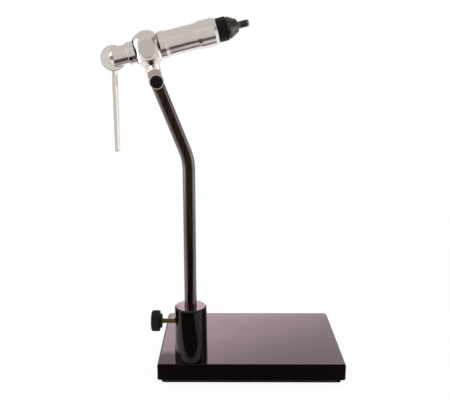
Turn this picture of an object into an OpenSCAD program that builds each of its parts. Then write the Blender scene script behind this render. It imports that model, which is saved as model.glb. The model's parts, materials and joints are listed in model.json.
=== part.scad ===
// Fly tying vise on a pedestal base, with a push-rod collet worked by a cam lever.
// Origin: centre of the base pad's underside. X runs along the jaws, Y goes back, Z is up.
// It is drawn clamped: jaws shut, lever hanging straight down.

/* [Base] */
// Width of the base plate, left to right
base_w = 146.4; // [125:1:180]
// Depth of the base plate, front to back
base_d = 102.4; // [85:0.1:130]
// Thickness of the base plate
plate_t = 12.8; // [10.5:0.1:16]
// Bevel round the plate's top edge
plate_bevel = 1.6; // [0.5:0.1:2.5]
// Radius of the plate's upright corners
plate_corner_r = 2.5; // [1:0.1:6]
// Thickness of the rubber pad under the plate
pad_t = 3.5; // [3:0.1:8]
// How far the pad stays inside the plate's edge
pad_inset = 3; // [2:0.1:8]
// Radius of the pad's corners
pad_corner_r = 2.5; // [2:0.1:12]

/* [Socket] */
// From the plate's left edge to the post's axis
socket_from_left = 25.8; // [20:0.1:40]
// From the plate's front edge to the post's axis
socket_from_front = 15.4; // [14:0.1:30]
// Socket diameter at its top
socket_top_d = 25; // [22:0.1:27]
// Socket diameter where it stands on the plate
socket_bottom_d = 26; // [24:0.1:28]
// Height of the socket
socket_h = 42.6; // [38:0.1:60]
// Bevel round the socket's top edge
socket_bevel = 1; // [0.4:0.1:2]
// Solid floor under the socket's bore
socket_floor_t = 9; // [8:0.1:12]

/* [Socket bolt] */
// Bolt diameter
bolt_d = 8; // [6:0.1:9]
// Bolt head diameter
bolt_head_d = 13; // [12:0.1:15]
// Bolt head height
bolt_head_h = 5; // [4:0.1:6]
// Hexagon key size across flats
bolt_key = 5; // [4:0.5:6]
// Spring washer diameter
bolt_washer_d = 14.4; // [13:0.1:16]
// Spring washer thickness
bolt_washer_t = 1.2; // [0.8:0.1:1.5]
// Thread length held by the socket's floor
bolt_grip = 7; // [5:0.1:7.5]

/* [Clamp screw] */
// Height of the clamp screw above the plate
clamp_up = 29.9; // [24:0.1:34]
// Screw diameter
clamp_screw_d = 4; // [3.6:0.1:6]
// Length of screw that shows between socket and knob
clamp_show = 9.4; // [6:0.1:14]
// Diameter of the soft brass tip that meets the post
clamp_tip_d = 3; // [2:0.1:3.4]
// Length of the brass tip
clamp_tip_l = 2; // [1:0.1:3]
// Knob diameter
clamp_knob_d = 16.3; // [13:0.1:20]
// Knob thickness
clamp_knob_t = 6.6; // [5:0.1:9]
// Diameter of the boss on the knob's inner side
clamp_boss_d = 11; // [8:0.1:12]
// Length of that boss
clamp_boss_t = 1.6; // [0.8:0.1:3]
// Number of finger flutes round the knob
clamp_flutes = 24; // [16:2:30]
// Width of one flute
clamp_flute_d = 1.2; // [0.6:0.1:1.5]

/* [Post] */
// Post diameter, three eighths of an inch
post_d = 9.525; // [9:0.005:11]
// Height of the bend's corner above the plate
post_corner_h = 157.5; // [110:0.1:200]
// Lean of the post's upper arm
post_lean = 21.5; // [15:0.1:30]
// Radius of the bend, to the post's axis
post_bend_r = 42; // [25:1:80]
// From the bend's corner to the head's pivot
post_arm = 60.9; // [45:0.1:80]
// Turn of the post and head in the socket, seen from above
head_turn = 6; // [0:0.5:12]
// Free space under the post in its socket
post_foot_gap = 5.5; // [5.3:0.1:9]

/* [Pivot] */
// Pivot screw diameter, a quarter of an inch
pivot_d = 6.35; // [5:0.05:6.5]
// Pivot screw head diameter
pivot_head_d = 9.2; // [8.5:0.1:10]
// Pivot screw head height
pivot_head_h = 6.35; // [4:0.05:7]
// Hexagon key size across flats
pivot_key = 4.76; // [3:0.01:5]
// Thickness of the friction washer between ear and post
pivot_washer_t = 0.5; // [0.3:0.1:1]

/* [Head block] */
// Rise of the barrel from level
barrel_rise = 14.2; // [5:0.1:25]
// From the pivot up to the barrel's axis
neck_h = 23.7; // [22:0.1:30]
// Neck diameter
neck_d = 11.2; // [11:0.1:13]
// Diameter of the round block
block_d = 23; // [21.5:0.1:24]
// Width of the block between its two flats
block_w = 16.7; // [15.5:0.1:17]
// Height of the dome above the barrel's axis
block_top = 13.1; // [12.2:0.1:15]
// Depth of the block below the barrel's axis
block_bottom = 9; // [8.5:0.1:11]
// Thickness of the ear, in front of the pivot's mid plane
ear_t = 3.3; // [2.5:0.1:4]
// How much smaller the ear's round end is than the neck
ear_rim = 0.15; // [0.1:0.05:0.5]
// Radius of the milled flat round the ear's end
seat_r = 8.8; // [7:0.1:9]
// Depth of that flat behind the ear's round face
seat_step = 0.4; // [0.2:0.1:0.8]
// Radius of the cove between the neck and the block
neck_cove = 5.7; // [3:0.1:5.8]
// Width of the slot through the neck
neck_slot_w = 2.4; // [1:0.1:4]
// Height of that slot
neck_slot_h = 3; // [2:0.1:5]
// How far that slot stands left of the neck's middle
neck_slot_left = 1.2; // [0:0.1:1.5]

/* [Tension knob] */
// Knob diameter
tension_knob_d = 12.8; // [10:0.1:15]
// Knob thickness
tension_knob_t = 3; // [2:0.1:5]
// Gap between the block and the knob
tension_gap = 0.6; // [0.5:0.1:3]
// Stud diameter
tension_stud_d = 4; // [3.4:0.1:5]
// Diameter of the nylon plug that rubs on the spindle
brake_plug_d = 3; // [2:0.1:3.2]

/* [Spindle] */
// Spindle diameter
spindle_d = 8.4; // [8:0.1:8.6]
// Wall of the bronze bushing round the spindle
bushing_wall = 1.1; // [0.8:0.1:1.2]
// Diameter of the black washer behind the block
rear_washer_d = 17.5; // [15:0.1:19]
// Thickness of the rear washer
rear_washer_t = 0.6; // [0.5:0.1:1.5]
// Diameter of the washer in front of the block
front_washer_d = 17; // [15:0.1:19]
// Thickness of the front washer
front_washer_t = 0.5; // [0.4:0.1:1.2]

/* [Barrel] */
// Diameter of the rear collar
collar_d = 19.5; // [19:0.1:22]
// Length of the rear collar
collar_l = 3.6; // [3:0.1:6]
// Length of the taper in front of the collar
rear_taper_l = 2.4; // [1:0.1:4]
// Diameter of the barrel's long middle
barrel_d = 18.4; // [17.5:0.1:19]
// Length of the barrel's long middle
barrel_l = 21.2; // [18:0.1:30]
// Length of the taper up to the front section
front_taper_l = 2.3; // [1:0.1:4]
// Diameter of the front section
front_d = 19.9; // [19:0.1:22]
// Length of the front section
front_l = 12.1; // [10:0.1:16]
// Depth of the bevel at the barrel's front end
front_bevel = 0.7; // [0.4:0.1:1.5]
// Length of that bevel along the barrel
front_bevel_l = 2.2; // [0.6:0.1:3]

/* [Nose] */
// Gap between barrel and nose ring
nose_gap = 0.6; // [0.3:0.1:1]
// Diameter of the turning nose ring
nose_ring_d = 17; // [16:0.1:19]
// Length of the nose ring
nose_ring_l = 7.1; // [4:0.1:9]
// Gap between the ring and the cone
nose_groove_l = 0.8; // [0.4:0.1:1.5]
// Cone diameter at its back
cone_back_d = 16.2; // [15:0.1:17]
// Cone diameter at its front
cone_front_d = 9; // [8.5:0.1:11]
// Length of the cone
cone_l = 6.9; // [6.5:0.1:10]
// Diameter of the nose's spigot in the ring and barrel
spigot_d = 13.6; // [12.5:0.1:14]

/* [Jaws] */
// Diameter of the jaw tip
jaw_tip_d = 5; // [3.6:0.1:5.4]
// Length of the jaw tip in front of the cone
jaw_tip_l = 8.4; // [5:0.1:12]
// Diameter of the jaw shank
jaw_shank_d = 8; // [7.4:0.1:8.6]
// Width of the slit between the two jaws
jaw_slit_w = 0.4; // [0.2:0.05:0.5]
// Diameter of the hook hole in the tip
hook_hole_d = 1.6; // [1.5:0.1:2.2]
// Depth of the hook hole
hook_hole_l = 5; // [3:0.1:8]
// Push rod diameter
rod_d = 3.2; // [2.6:0.1:3.6]

/* [Return spring] */
// Wire diameter
spring_wire_d = 0.8; // [0.5:0.1:1]
// Number of curls
spring_curls = 6; // [4:1:7]

/* [Tail] */
// Diameter of the tail's collar
tail_collar_d = 16.1; // [15:0.1:18]
// Length of the tail's collar
tail_collar_l = 5.4; // [4:0.1:7]
// Diameter of the forked tail bar
tail_d = 14.3; // [13:0.1:15]
// Length of the tail bar behind the collar
tail_l = 14.7; // [14.2:0.1:20]
// Radius of the tail bar's ball end
tail_end_r = 8.5; // [8:0.1:12]
// Set screw diameter
set_screw_d = 2.9; // [2:0.1:3.2]
// Angle of the set screw below level
set_screw_angle = 30; // [0:1:45]

/* [Cam] */
// Cam disc diameter
cam_d = 17.9; // [16:0.1:18.6]
// Cam disc thickness
cam_t = 4; // [3:0.1:5]
// How far the disc's centre lies in front of its pin
cam_forward = 0.8; // [0.3:0.1:1]
// How far the disc's centre lies below its pin
cam_drop = 0.4; // [0.3:0.1:1.2]
// Cam pin diameter
cam_pin_d = 3.2; // [2.5:0.1:4]
// From the tail's ball end to the cam pin
cam_pin_inset = 3.5; // [3:0.1:4]

/* [Lever] */
// Lever diameter at the cam
lever_top_d = 6; // [5:0.1:7]
// Lever diameter at its free end
lever_end_d = 5.3; // [4:0.1:6]
// From the cam pin down to the lever's free end
lever_reach = 66.3; // [50:0.1:90]
// How far the lever stands behind the cam pin
lever_back = 0.7; // [0:0.1:2]
// Diameter of the lever's thread in the cam
lever_stud_d = 3; // [2:0.1:3.2]

/* [Hidden] */
$fn = 64;
// How far a cutter runs past the face that it cuts
over = 0.5;
// Clearance round a shaft that turns or slides
run_fit = 0.06;
// Gap between two faces that slide on each other
slide_gap = 0.05;
// Gap between curved faces of pieces that move apart
free_gap = 0.3;

// Rounding of the bolt's, washers' and knobs' edges
edge_bevel = 0.5;

// Places on the base
plate_top = pad_t + plate_t;
socket_x = socket_from_left - base_w / 2;
socket_y = socket_from_front - base_d / 2;
socket_foot = plate_top + slide_gap;
// Bolt head kept above the pad
bolt_rise = 0.3;
bolt_seat = pad_t + bolt_rise + bolt_head_h + bolt_washer_t;
// From the post's axis to the clamp knob's boss
clamp_boss_x = socket_bottom_d / 2 + clamp_show;

// The post's corner and pivot
bend_tangent = post_bend_r * tan(post_lean / 2);
corner_z = plate_top + post_corner_h;
// How much thinner the rod draws where it is bent
bend_draw = 0.02;
// Angle by which the bend runs into each straight
bend_lap = 0.3;
pivot_out = post_arm * sin(post_lean);
pivot_z = corner_z + post_arm * cos(post_lean);
shoulder_r = neck_d / 2 + free_gap;
ear_back = pivot_washer_t / 2;
// How far the pivot screw's end stays inside the post
pivot_short = 1;
// Wall left between the seat's arc and the neck's slot
neck_slot_up = 0.2;

// Places along the barrel, from the block's centre
flat_x = block_w / 2;
rear_washer_x = -flat_x - slide_gap - rear_washer_t;
collar_x = flat_x + slide_gap + front_washer_t;
middle_x = collar_x + collar_l + rear_taper_l;
front_x = middle_x + barrel_l + front_taper_l;
muzzle_x = front_x + front_l;
ring_x = muzzle_x + nose_gap;
cone_x = ring_x + nose_ring_l + nose_groove_l;
cone_end_x = cone_x + cone_l;
jaw_end_x = cone_end_x + jaw_tip_l;
tail_step_x = rear_washer_x - tail_collar_l;
tail_end_x = tail_step_x - tail_l;
pin_x = tail_end_x + cam_pin_inset;

// Length of spindle held in the barrel
spindle_grip = 7;
spindle_front_x = collar_x + spindle_grip;
// Length of the nose's spigot held in the barrel
spigot_grip = 8.5;
spigot_x = muzzle_x - spigot_grip;
// Step that the spigot's end rests on
chamber_step = 0.6;
chamber_d = spigot_d - 2 * chamber_step;
// Wall between the spindle's thread and the chamber
chamber_wall = 2;
chamber_x = spindle_front_x + chamber_wall;

// The jaws' flange, which slides in the chamber, and its room behind
flange_d = chamber_d - 2 * run_fit;
flange_l = 3;
flange_room = 3;
flange_x = chamber_x + flange_room;
shank_x = flange_x + flange_l;
rod_front_x = flange_x + 2 * flange_l / 3;
// The jaws' taper, and how far it ends behind the cone's end
jaw_taper_l = 5;
jaw_taper_back = 2;
jaw_taper_x = cone_end_x - jaw_taper_back - jaw_taper_l;
// Gap between the jaws' taper and the cone's
tip_gap = 0.15;
// Length of the slit from the tip
jaw_slit_l = 26;
// Rounding of the jaw tip's end
jaw_round = 0.9;
// Rounding of the cone's front corner
cone_round = 0.2;

// The spring, between the jaws' flange and the spigot
spring_end_gap = 0.1;
spring_mean_r = (chamber_d + jaw_shank_d) / 4;
spring_rise = spigot_x - shank_x - spring_wire_d - 2 * spring_end_gap;
spring_rings = 8;
spring_sides = 6;

// The fork round the cam, and the floor behind the cam's rim
cam_gap = 0.2;
fork_w = cam_t + 2 * cam_gap;
cam_rim_x = pin_x + cam_forward + cam_d / 2;
fork_room = 0.5;
fork_floor_x = cam_rim_x + fork_room;
// Gap between the cam and the push rod
rod_gap = 0.1;
rod_back_x = cam_rim_x + rod_gap;
// Gap between the fork's floor and the spindle's end
spindle_end_gap = 0.4;
spindle_back_x = fork_floor_x + spindle_end_gap;
// How far the pin's ends stay below the tail bar
pin_sunk = 0.5;
lever_stud_l = 4;
lever_end_round = 1.2;
// Wall between the set screw and the collar's step
set_screw_wall = 0.15;
set_screw_x = tail_step_x + set_screw_d / 2 + set_screw_wall;
set_screw_key = 1.5;
set_screw_sunk = 0.4;

// The tension screw, measured forwards from the spindle
brake_gap = 0.1;
brake_plug_l = 2.6;
brake_end_y = spindle_d / 2 + brake_gap;
stud_end_y = brake_end_y + brake_plug_l;
tension_back_y = block_d / 2 + tension_gap;
// Length of stud held in the knob
stud_grip = 2;

// A tube standing on the origin
module tube(outer_d, inner_d, h) {
  difference() {
    cylinder(d = outer_d, h = h);
    translate([0, 0, -over]) cylinder(d = inner_d, h = h + 2 * over);
  }
}

// A round bar with a bevel at its upper end, and one at its lower end if asked
module bevelled_bar(d, h, bevel, low = 0) {
  rotate_extrude()
    polygon([[0, 0], [d / 2 - low, 0], [d / 2, low], [d / 2, h - bevel], [d / 2 - bevel, h], [0, h]]);
}

// A round bar from low to high on Z, whose upper end is a half ball round the height high
module ball_ended_bar(d, low, high, bevel = 0) {
  rotate_extrude() intersection() {
    union() {
      translate([0, high]) circle(d = d);
      polygon([[0, low], [d / 2 - bevel, low], [d / 2, low + bevel], [d / 2, high], [0, high]]);
    }
    translate([0, low]) square([d, high - low + d]);
  }
}

// A six-sided key socket, sunk from the origin downwards
module key_socket(across, depth) {
  translate([0, 0, -depth]) cylinder(d = across / cos(30), h = depth + over, $fn = 6);
}

// A flat outline with round corners
module round_rectangle(w, d, r) {
  square([w - 2 * r, d], center = true);
  square([w, d - 2 * r], center = true);
  for (x = [-1, 1], y = [-1, 1])
    translate([x * (w / 2 - r), y * (d / 2 - r)]) circle(r = r);
}

// On the plate at the post's axis
module at_socket() {
  translate([socket_x, socket_y, socket_foot]) children();
}

// At the clamp screw, with Z running out of the socket to the left
module at_clamp(out) {
  translate([socket_x - out, socket_y, plate_top + clamp_up]) rotate([0, -90, 0]) children();
}

// On the post's axis at a height, turned as the post is turned in its socket
module at_post(z) {
  translate([socket_x, socket_y, z]) rotate([0, 0, head_turn]) children();
}

// At the pivot, with Z up the post's arm
module at_post_top() {
  at_post(pivot_z) translate([-pivot_out, 0, 0]) rotate([0, -post_lean, 0]) children();
}

// At the pivot, with Z up the neck and X along the barrel
module at_pivot() {
  at_post(pivot_z) translate([-pivot_out, 0, 0]) rotate([0, -barrel_rise, 0]) children();
}

// At the block's centre, with X along the barrel
module at_block() {
  at_pivot() translate([0, 0, neck_h]) children();
}

// On the barrel's axis at x, with Z running forwards
module along(x) {
  at_block() translate([x, 0, 0]) rotate([0, 90, 0]) children();
}

// At a distance in front of the block's centre, with Z running to the front
module out_front(y) {
  at_block() translate([0, -y, 0]) rotate([90, 0, 0]) children();
}

// At the cam pin, with Z straight up
module at_pin() {
  at_post(pivot_z) translate([
    pin_x * cos(barrel_rise) - neck_h * sin(barrel_rise) - pivot_out,
    0,
    pin_x * sin(barrel_rise) + neck_h * cos(barrel_rise)
  ])
    children();
}

// The cam's outline as a bar across the fork, at its eccentric centre
module cam_round(d, t) {
  at_block() translate([pin_x + cam_forward, 0, -cam_drop])
    rotate([90, 0, 0]) cylinder(d = d, h = t, center = true);
}

module base_plate() {
  bevel_w = base_w / 2;
  bevel_d = base_d / 2;
  color([0.05, 0.05, 0.055]) difference() {
    intersection() {
      translate([0, 0, pad_t]) linear_extrude(plate_t) round_rectangle(base_w, base_d, plate_corner_r);
      translate([0, base_d / 2 + over, pad_t]) rotate([90, 0, 0]) linear_extrude(base_d + 2 * over)
        polygon([[-bevel_w, 0], [bevel_w, 0], [bevel_w, plate_t - plate_bevel],
          [bevel_w - plate_bevel, plate_t], [plate_bevel - bevel_w, plate_t],
          [-bevel_w, plate_t - plate_bevel]]);
      translate([-base_w / 2 - over, 0, pad_t]) rotate([90, 0, 90]) linear_extrude(base_w + 2 * over)
        polygon([[-bevel_d, 0], [bevel_d, 0], [bevel_d, plate_t - plate_bevel],
          [bevel_d - plate_bevel, plate_t], [plate_bevel - bevel_d, plate_t],
          [-bevel_d, plate_t - plate_bevel]]);
    }
    translate([socket_x, socket_y, pad_t - over])
      cylinder(d = bolt_d + 2 * run_fit, h = plate_t + 2 * over);
    translate([socket_x, socket_y, pad_t - over])
      cylinder(d = bolt_washer_d + 2 * free_gap, h = bolt_seat - pad_t + over);
  }
}

module base_pad() {
  color([0.09, 0.09, 0.09]) linear_extrude(pad_t)
    round_rectangle(base_w - 2 * pad_inset, base_d - 2 * pad_inset, pad_corner_r);
}

module post_socket() {
  color([0.05, 0.05, 0.055]) difference() {
    at_socket() rotate_extrude()
      polygon([[0, 0], [socket_bottom_d / 2, 0], [socket_top_d / 2, socket_h - socket_bevel],
        [socket_top_d / 2 - socket_bevel, socket_h], [0, socket_h]]);
    at_socket() translate([0, 0, socket_floor_t])
      cylinder(d = post_d + 2 * run_fit, h = socket_h - socket_floor_t + over);
    at_socket() translate([0, 0, -over]) cylinder(d = bolt_d, h = bolt_grip + over);
    at_clamp(0) cylinder(d = clamp_screw_d + 2 * run_fit, h = socket_bottom_d);
  }
}

module socket_bolt() {
  color([0.2, 0.2, 0.21]) difference() {
    translate([socket_x, socket_y, pad_t + bolt_rise]) union() {
      cylinder(d = bolt_d, h = socket_foot - pad_t - bolt_rise + bolt_grip);
      cylinder(d = bolt_head_d, h = bolt_head_h - slide_gap);
    }
    translate([socket_x, socket_y, pad_t + bolt_rise]) mirror([0, 0, 1]) key_socket(bolt_key, bolt_head_h / 2);
  }
}

module socket_washer() {
  color([0.55, 0.55, 0.56]) translate([socket_x, socket_y, bolt_seat - bolt_washer_t - slide_gap])
    tube(bolt_washer_d, bolt_d, bolt_washer_t);
}

module clamp_tip() {
  color([0.75, 0.6, 0.3]) at_clamp(post_d / 2 + free_gap) cylinder(d = clamp_tip_d, h = clamp_tip_l);
}

module clamp_screw() {
  start = post_d / 2 + free_gap + clamp_tip_l;
  color([0.75, 0.65, 0.35]) at_clamp(start)
    cylinder(d = clamp_screw_d, h = clamp_boss_x + clamp_boss_t + clamp_knob_t / 2 - start);
}

module clamp_knob() {
  color([0.06, 0.06, 0.06]) difference() {
    at_clamp(clamp_boss_x) union() {
      cylinder(d = clamp_boss_d, h = clamp_boss_t);
      translate([0, 0, clamp_boss_t]) bevelled_bar(clamp_knob_d, clamp_knob_t, 2 * edge_bevel, edge_bevel);
    }
    at_clamp(clamp_boss_x) translate([0, 0, -over])
      cylinder(d = clamp_screw_d, h = over + clamp_boss_t + clamp_knob_t / 2);
    at_clamp(clamp_boss_x + clamp_boss_t)
      for (i = [0:clamp_flutes - 1]) rotate([0, 0, i * 360 / clamp_flutes])
        translate([clamp_knob_d / 2 + clamp_flute_d / 4, 0, -over])
          cylinder(d = clamp_flute_d, h = clamp_knob_t + 2 * over, $fn = 16);
  }
}

module post() {
  foot_z = socket_foot + socket_floor_t + post_foot_gap;
  color([0.04, 0.04, 0.045]) difference() {
    union() {
      at_post(foot_z) cylinder(d = post_d, h = corner_z - bend_tangent - foot_z);
      at_post(corner_z - bend_tangent) translate([-post_bend_r, 0, 0]) rotate([90, 0, 0])
        rotate([0, 0, -bend_lap]) rotate_extrude(angle = post_lean + 2 * bend_lap)
          translate([post_bend_r, 0]) circle(d = post_d - bend_draw);
      at_post_top() ball_ended_bar(post_d, bend_tangent - post_arm, 0);
    }
    at_post_top() translate([0, ear_back, 0]) rotate([90, 0, 0])
      cylinder(r = shoulder_r, h = post_d + over);
    at_post_top() rotate([90, 0, 0]) cylinder(d = pivot_d, h = 2 * post_d, center = true);
  }
}

module pivot_screw() {
  shank_l = ear_t + slide_gap + post_d / 2 - pivot_short;
  color([0.05, 0.05, 0.05]) at_pivot() translate([0, -ear_t - slide_gap, 0]) rotate([90, 0, 0])
    difference() {
      union() {
        bevelled_bar(pivot_head_d, pivot_head_h, edge_bevel);
        translate([0, 0, -shank_l]) cylinder(d = pivot_d, h = shank_l + over);
      }
      translate([0, 0, pivot_head_h]) key_socket(pivot_key, pivot_head_h / 2);
    }
}

module pivot_washer() {
  color([0.1, 0.1, 0.1]) at_pivot() translate([0, ear_back, 0]) rotate([90, 0, 0])
    tube(post_d - 2 * edge_bevel, pivot_d + 2 * run_fit, pivot_washer_t - slide_gap);
}

// The block, its cove and its neck, all turned about the neck's axis
module turned_block(dome_up) {
  cove_low = -block_bottom - neck_cove;
  flat_r = block_d / 2 - 2 * edge_bevel;
  rotate_extrude() intersection() {
    union() {
      translate([0, dome_up]) circle(d = block_d);
      polygon([[0, -neck_h], [neck_d / 2, -neck_h], [neck_d / 2, -block_bottom], [flat_r, -block_bottom],
        [block_d / 2, 2 * edge_bevel - block_bottom], [block_d / 2, dome_up], [0, dome_up]]);
      difference() {
        translate([0, cove_low]) square([flat_r, neck_cove]);
        translate([neck_d / 2 + neck_cove, cove_low]) circle(r = neck_cove);
      }
    }
    translate([0, -neck_h]) square([block_d, neck_h + block_d]);
  }
}

module head_block() {
  dome_up = block_top - block_d / 2;
  color([0.78, 0.77, 0.74]) difference() {
    union() {
      difference() {
        at_block() intersection() {
          turned_block(dome_up);
          translate([-block_w / 2, -block_d, -neck_h]) cube([block_w, 2 * block_d, neck_h + block_d]);
        }
        at_pivot() translate([0, seat_step - ear_t, 0]) rotate([90, 0, 0])
          cylinder(r = seat_r, h = block_d);
      }
      at_pivot() rotate([90, 0, 0]) cylinder(r = neck_d / 2 - ear_rim, h = ear_t);
    }
    at_pivot() translate([0, neck_d, 0]) rotate([90, 0, 0])
      cylinder(r = shoulder_r, h = neck_d + ear_back);
    at_pivot() rotate([90, 0, 0]) cylinder(d = pivot_d + 2 * run_fit, h = 2 * neck_d, center = true);
    at_pivot() translate([-neck_slot_w / 2 - neck_slot_left, -block_d, seat_r + neck_slot_up])
      cube([neck_slot_w, 2 * block_d, neck_slot_h]);
    along(-block_w) cylinder(d = spindle_d + 2 * bushing_wall, h = 2 * block_w);
    out_front(0) cylinder(d = tension_stud_d + 2 * run_fit, h = block_d);
  }
}

module spindle_bushing() {
  color([0.65, 0.5, 0.28]) difference() {
    along(-flat_x) tube(spindle_d + 2 * bushing_wall, spindle_d + 2 * run_fit, block_w);
    out_front(0) cylinder(d = brake_plug_d + 2 * run_fit, h = block_d);
  }
}

module brake_plug() {
  color([0.9, 0.9, 0.86]) out_front(brake_end_y) cylinder(d = brake_plug_d, h = brake_plug_l);
}

module tension_stud() {
  color([0.6, 0.6, 0.6]) out_front(stud_end_y)
    cylinder(d = tension_stud_d, h = tension_back_y - stud_end_y + stud_grip);
}

module tension_knob() {
  color([0.62, 0.59, 0.55]) difference() {
    out_front(tension_back_y)
      bevelled_bar(tension_knob_d, tension_knob_t, edge_bevel, edge_bevel);
    out_front(tension_back_y - over) cylinder(d = tension_stud_d, h = stud_grip + over);
  }
}

module rear_washer() {
  color([0.08, 0.08, 0.08]) along(rear_washer_x) tube(rear_washer_d, spindle_d, rear_washer_t);
}

module front_washer() {
  color([0.12, 0.12, 0.12]) along(flat_x + slide_gap) tube(front_washer_d, spindle_d, front_washer_t);
}

module spindle() {
  color([0.7, 0.7, 0.7]) along(spindle_back_x)
    tube(spindle_d, rod_d + 2 * run_fit, spindle_front_x - spindle_back_x);
}

module barrel() {
  color([0.78, 0.77, 0.74]) difference() {
    along(0) rotate_extrude() polygon([
      [0, collar_x],
      [collar_d / 2 - edge_bevel, collar_x],
      [collar_d / 2, collar_x + edge_bevel],
      [collar_d / 2, collar_x + collar_l],
      [barrel_d / 2, middle_x],
      [barrel_d / 2, middle_x + barrel_l],
      [front_d / 2, front_x],
      [front_d / 2, muzzle_x - front_bevel_l],
      [front_d / 2 - front_bevel, muzzle_x],
      [0, muzzle_x]
    ]);
    along(collar_x - over) cylinder(d = spindle_d, h = spindle_grip + over);
    along(collar_x) cylinder(d = rod_d + 2 * run_fit, h = muzzle_x - collar_x);
    along(chamber_x) cylinder(d = chamber_d, h = muzzle_x - chamber_x);
    along(spigot_x) cylinder(d = spigot_d, h = spigot_grip + over);
  }
}

module tail_block() {
  ball_x = tail_end_x + tail_end_r;
  color([0.78, 0.77, 0.74]) difference() {
    union() {
      along(tail_step_x)
        bevelled_bar(tail_collar_d, rear_washer_x - tail_step_x, edge_bevel / 2, edge_bevel);
      intersection() {
        along(tail_end_x) cylinder(d = tail_d, h = tail_l + over);
        union() {
          along(ball_x) sphere(r = tail_end_r);
          along(ball_x) cylinder(d = tail_collar_d, h = tail_l);
        }
      }
    }
    along(spindle_back_x) cylinder(d = spindle_d, h = rear_washer_x - spindle_back_x + over);
    along(tail_end_x) cylinder(d = rod_d + 2 * run_fit, h = tail_l);
    at_block() translate([tail_end_x - over, -fork_w / 2, -tail_d])
      cube([fork_floor_x - tail_end_x + over, fork_w, 2 * tail_d]);
    at_block() translate([pin_x, 0, 0]) rotate([90, 0, 0])
      cylinder(d = cam_pin_d, h = 2 * tail_d, center = true);
    at_block() translate([set_screw_x, 0, 0]) rotate([90 + set_screw_angle, 0, 0])
      cylinder(d = set_screw_d, h = tail_collar_d);
  }
}

module tail_set_screw() {
  color([0.1, 0.1, 0.1]) at_block() translate([set_screw_x, 0, 0]) rotate([90 + set_screw_angle, 0, 0])
    difference() {
      translate([0, 0, spindle_d / 2 + slide_gap])
        cylinder(d = set_screw_d, h = tail_collar_d / 2 - spindle_d / 2 - slide_gap - set_screw_sunk);
      translate([0, 0, tail_collar_d / 2 - set_screw_sunk]) key_socket(set_screw_key, set_screw_key);
    }
}

module cam_pin() {
  half = sqrt(pow(tail_d / 2, 2) - pow(cam_pin_d / 2, 2));
  color([0.35, 0.33, 0.3]) at_block() translate([pin_x, 0, 0]) rotate([90, 0, 0])
    cylinder(d = cam_pin_d, h = 2 * (half - pin_sunk), center = true);
}

module cam_disc() {
  color([0.7, 0.68, 0.64]) difference() {
    cam_round(cam_d, cam_t);
    at_block() translate([pin_x, 0, 0]) rotate([90, 0, 0])
      cylinder(d = cam_pin_d + 2 * run_fit, h = 2 * cam_t, center = true);
    lever_stud(lever_stud_d);
  }
}

// The lever's thread, from just inside the cam's rim
module lever_stud(d) {
  at_pin() translate([-lever_back, 0, -cam_d / 2 - cam_drop])
    cylinder(d = d, h = lever_stud_l);
}

module cam_lever() {
  color([0.78, 0.76, 0.73]) union() {
    difference() {
      at_pin() translate([-lever_back, 0, -lever_reach]) rotate_extrude() polygon([
        [0, 0],
        [lever_end_d / 2 - lever_end_round, 0],
        [lever_end_d / 2 - lever_end_round / 3, lever_end_round / 3],
        [lever_end_d / 2, lever_end_round],
        [lever_top_d / 2, lever_reach - cam_d / 2 + over],
        [0, lever_reach - cam_d / 2 + over]
      ]);
      cam_round(cam_d, 4 * cam_t);
    }
    lever_stud(lever_stud_d);
  }
}

module push_rod() {
  color([0.6, 0.6, 0.6]) along(rod_back_x) cylinder(d = rod_d, h = rod_front_x - rod_back_x);
}

// A point of the spring's wire: i counts rings along it, j counts round it
function spring_point(i, j, count) =
  let (turn = 360 * i / spring_rings, side = 360 * j / spring_sides,
    r = spring_mean_r + spring_wire_d / 2 * cos(side),
    rise = spring_rise * i / count + spring_wire_d / 2 * sin(side))
  [r * cos(turn), r * sin(turn), rise];

module return_spring() {
  count = spring_curls * spring_rings;
  points = [for (i = [0:count], j = [0:spring_sides - 1]) spring_point(i, j, count)];
  sides = [for (i = [0:count - 1], j = [0:spring_sides - 1])
    let (a = i * spring_sides + j, b = i * spring_sides + (j + 1) % spring_sides)
    each [[a, a + spring_sides, b], [b, a + spring_sides, b + spring_sides]]];
  first = [for (j = [1:spring_sides - 2]) [0, j, j + 1]];
  last = [for (j = [1:spring_sides - 2])
    [count * spring_sides, count * spring_sides + j + 1, count * spring_sides + j]];
  color([0.6, 0.6, 0.62]) along(shank_x + spring_end_gap + spring_wire_d / 2)
    polyhedron(points, concat(sides, first, last));
  echo(spring_gap = spring_rise / spring_curls - spring_wire_d);
}

module collet_jaws() {
  color([0.5, 0.49, 0.47]) difference() {
    along(0) rotate_extrude() polygon([
      [0, flange_x],
      [flange_d / 2, flange_x],
      [flange_d / 2, shank_x],
      [jaw_shank_d / 2, shank_x],
      [jaw_shank_d / 2, jaw_taper_x],
      [jaw_tip_d / 2, jaw_taper_x + jaw_taper_l],
      [jaw_tip_d / 2, jaw_end_x - jaw_round],
      [jaw_tip_d / 2 - jaw_round / 3, jaw_end_x - jaw_round / 3],
      [jaw_tip_d / 2 - jaw_round, jaw_end_x],
      [0, jaw_end_x]
    ]);
    along(flange_x - over) cylinder(d = rod_d, h = rod_front_x - flange_x + over);
    along(jaw_end_x - hook_hole_l) cylinder(d = hook_hole_d, h = hook_hole_l + over);
    at_block() translate([jaw_end_x - jaw_slit_l, -jaw_slit_w / 2, -jaw_shank_d])
      cube([jaw_slit_l + over, jaw_slit_w, 2 * jaw_shank_d]);
  }
}

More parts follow.
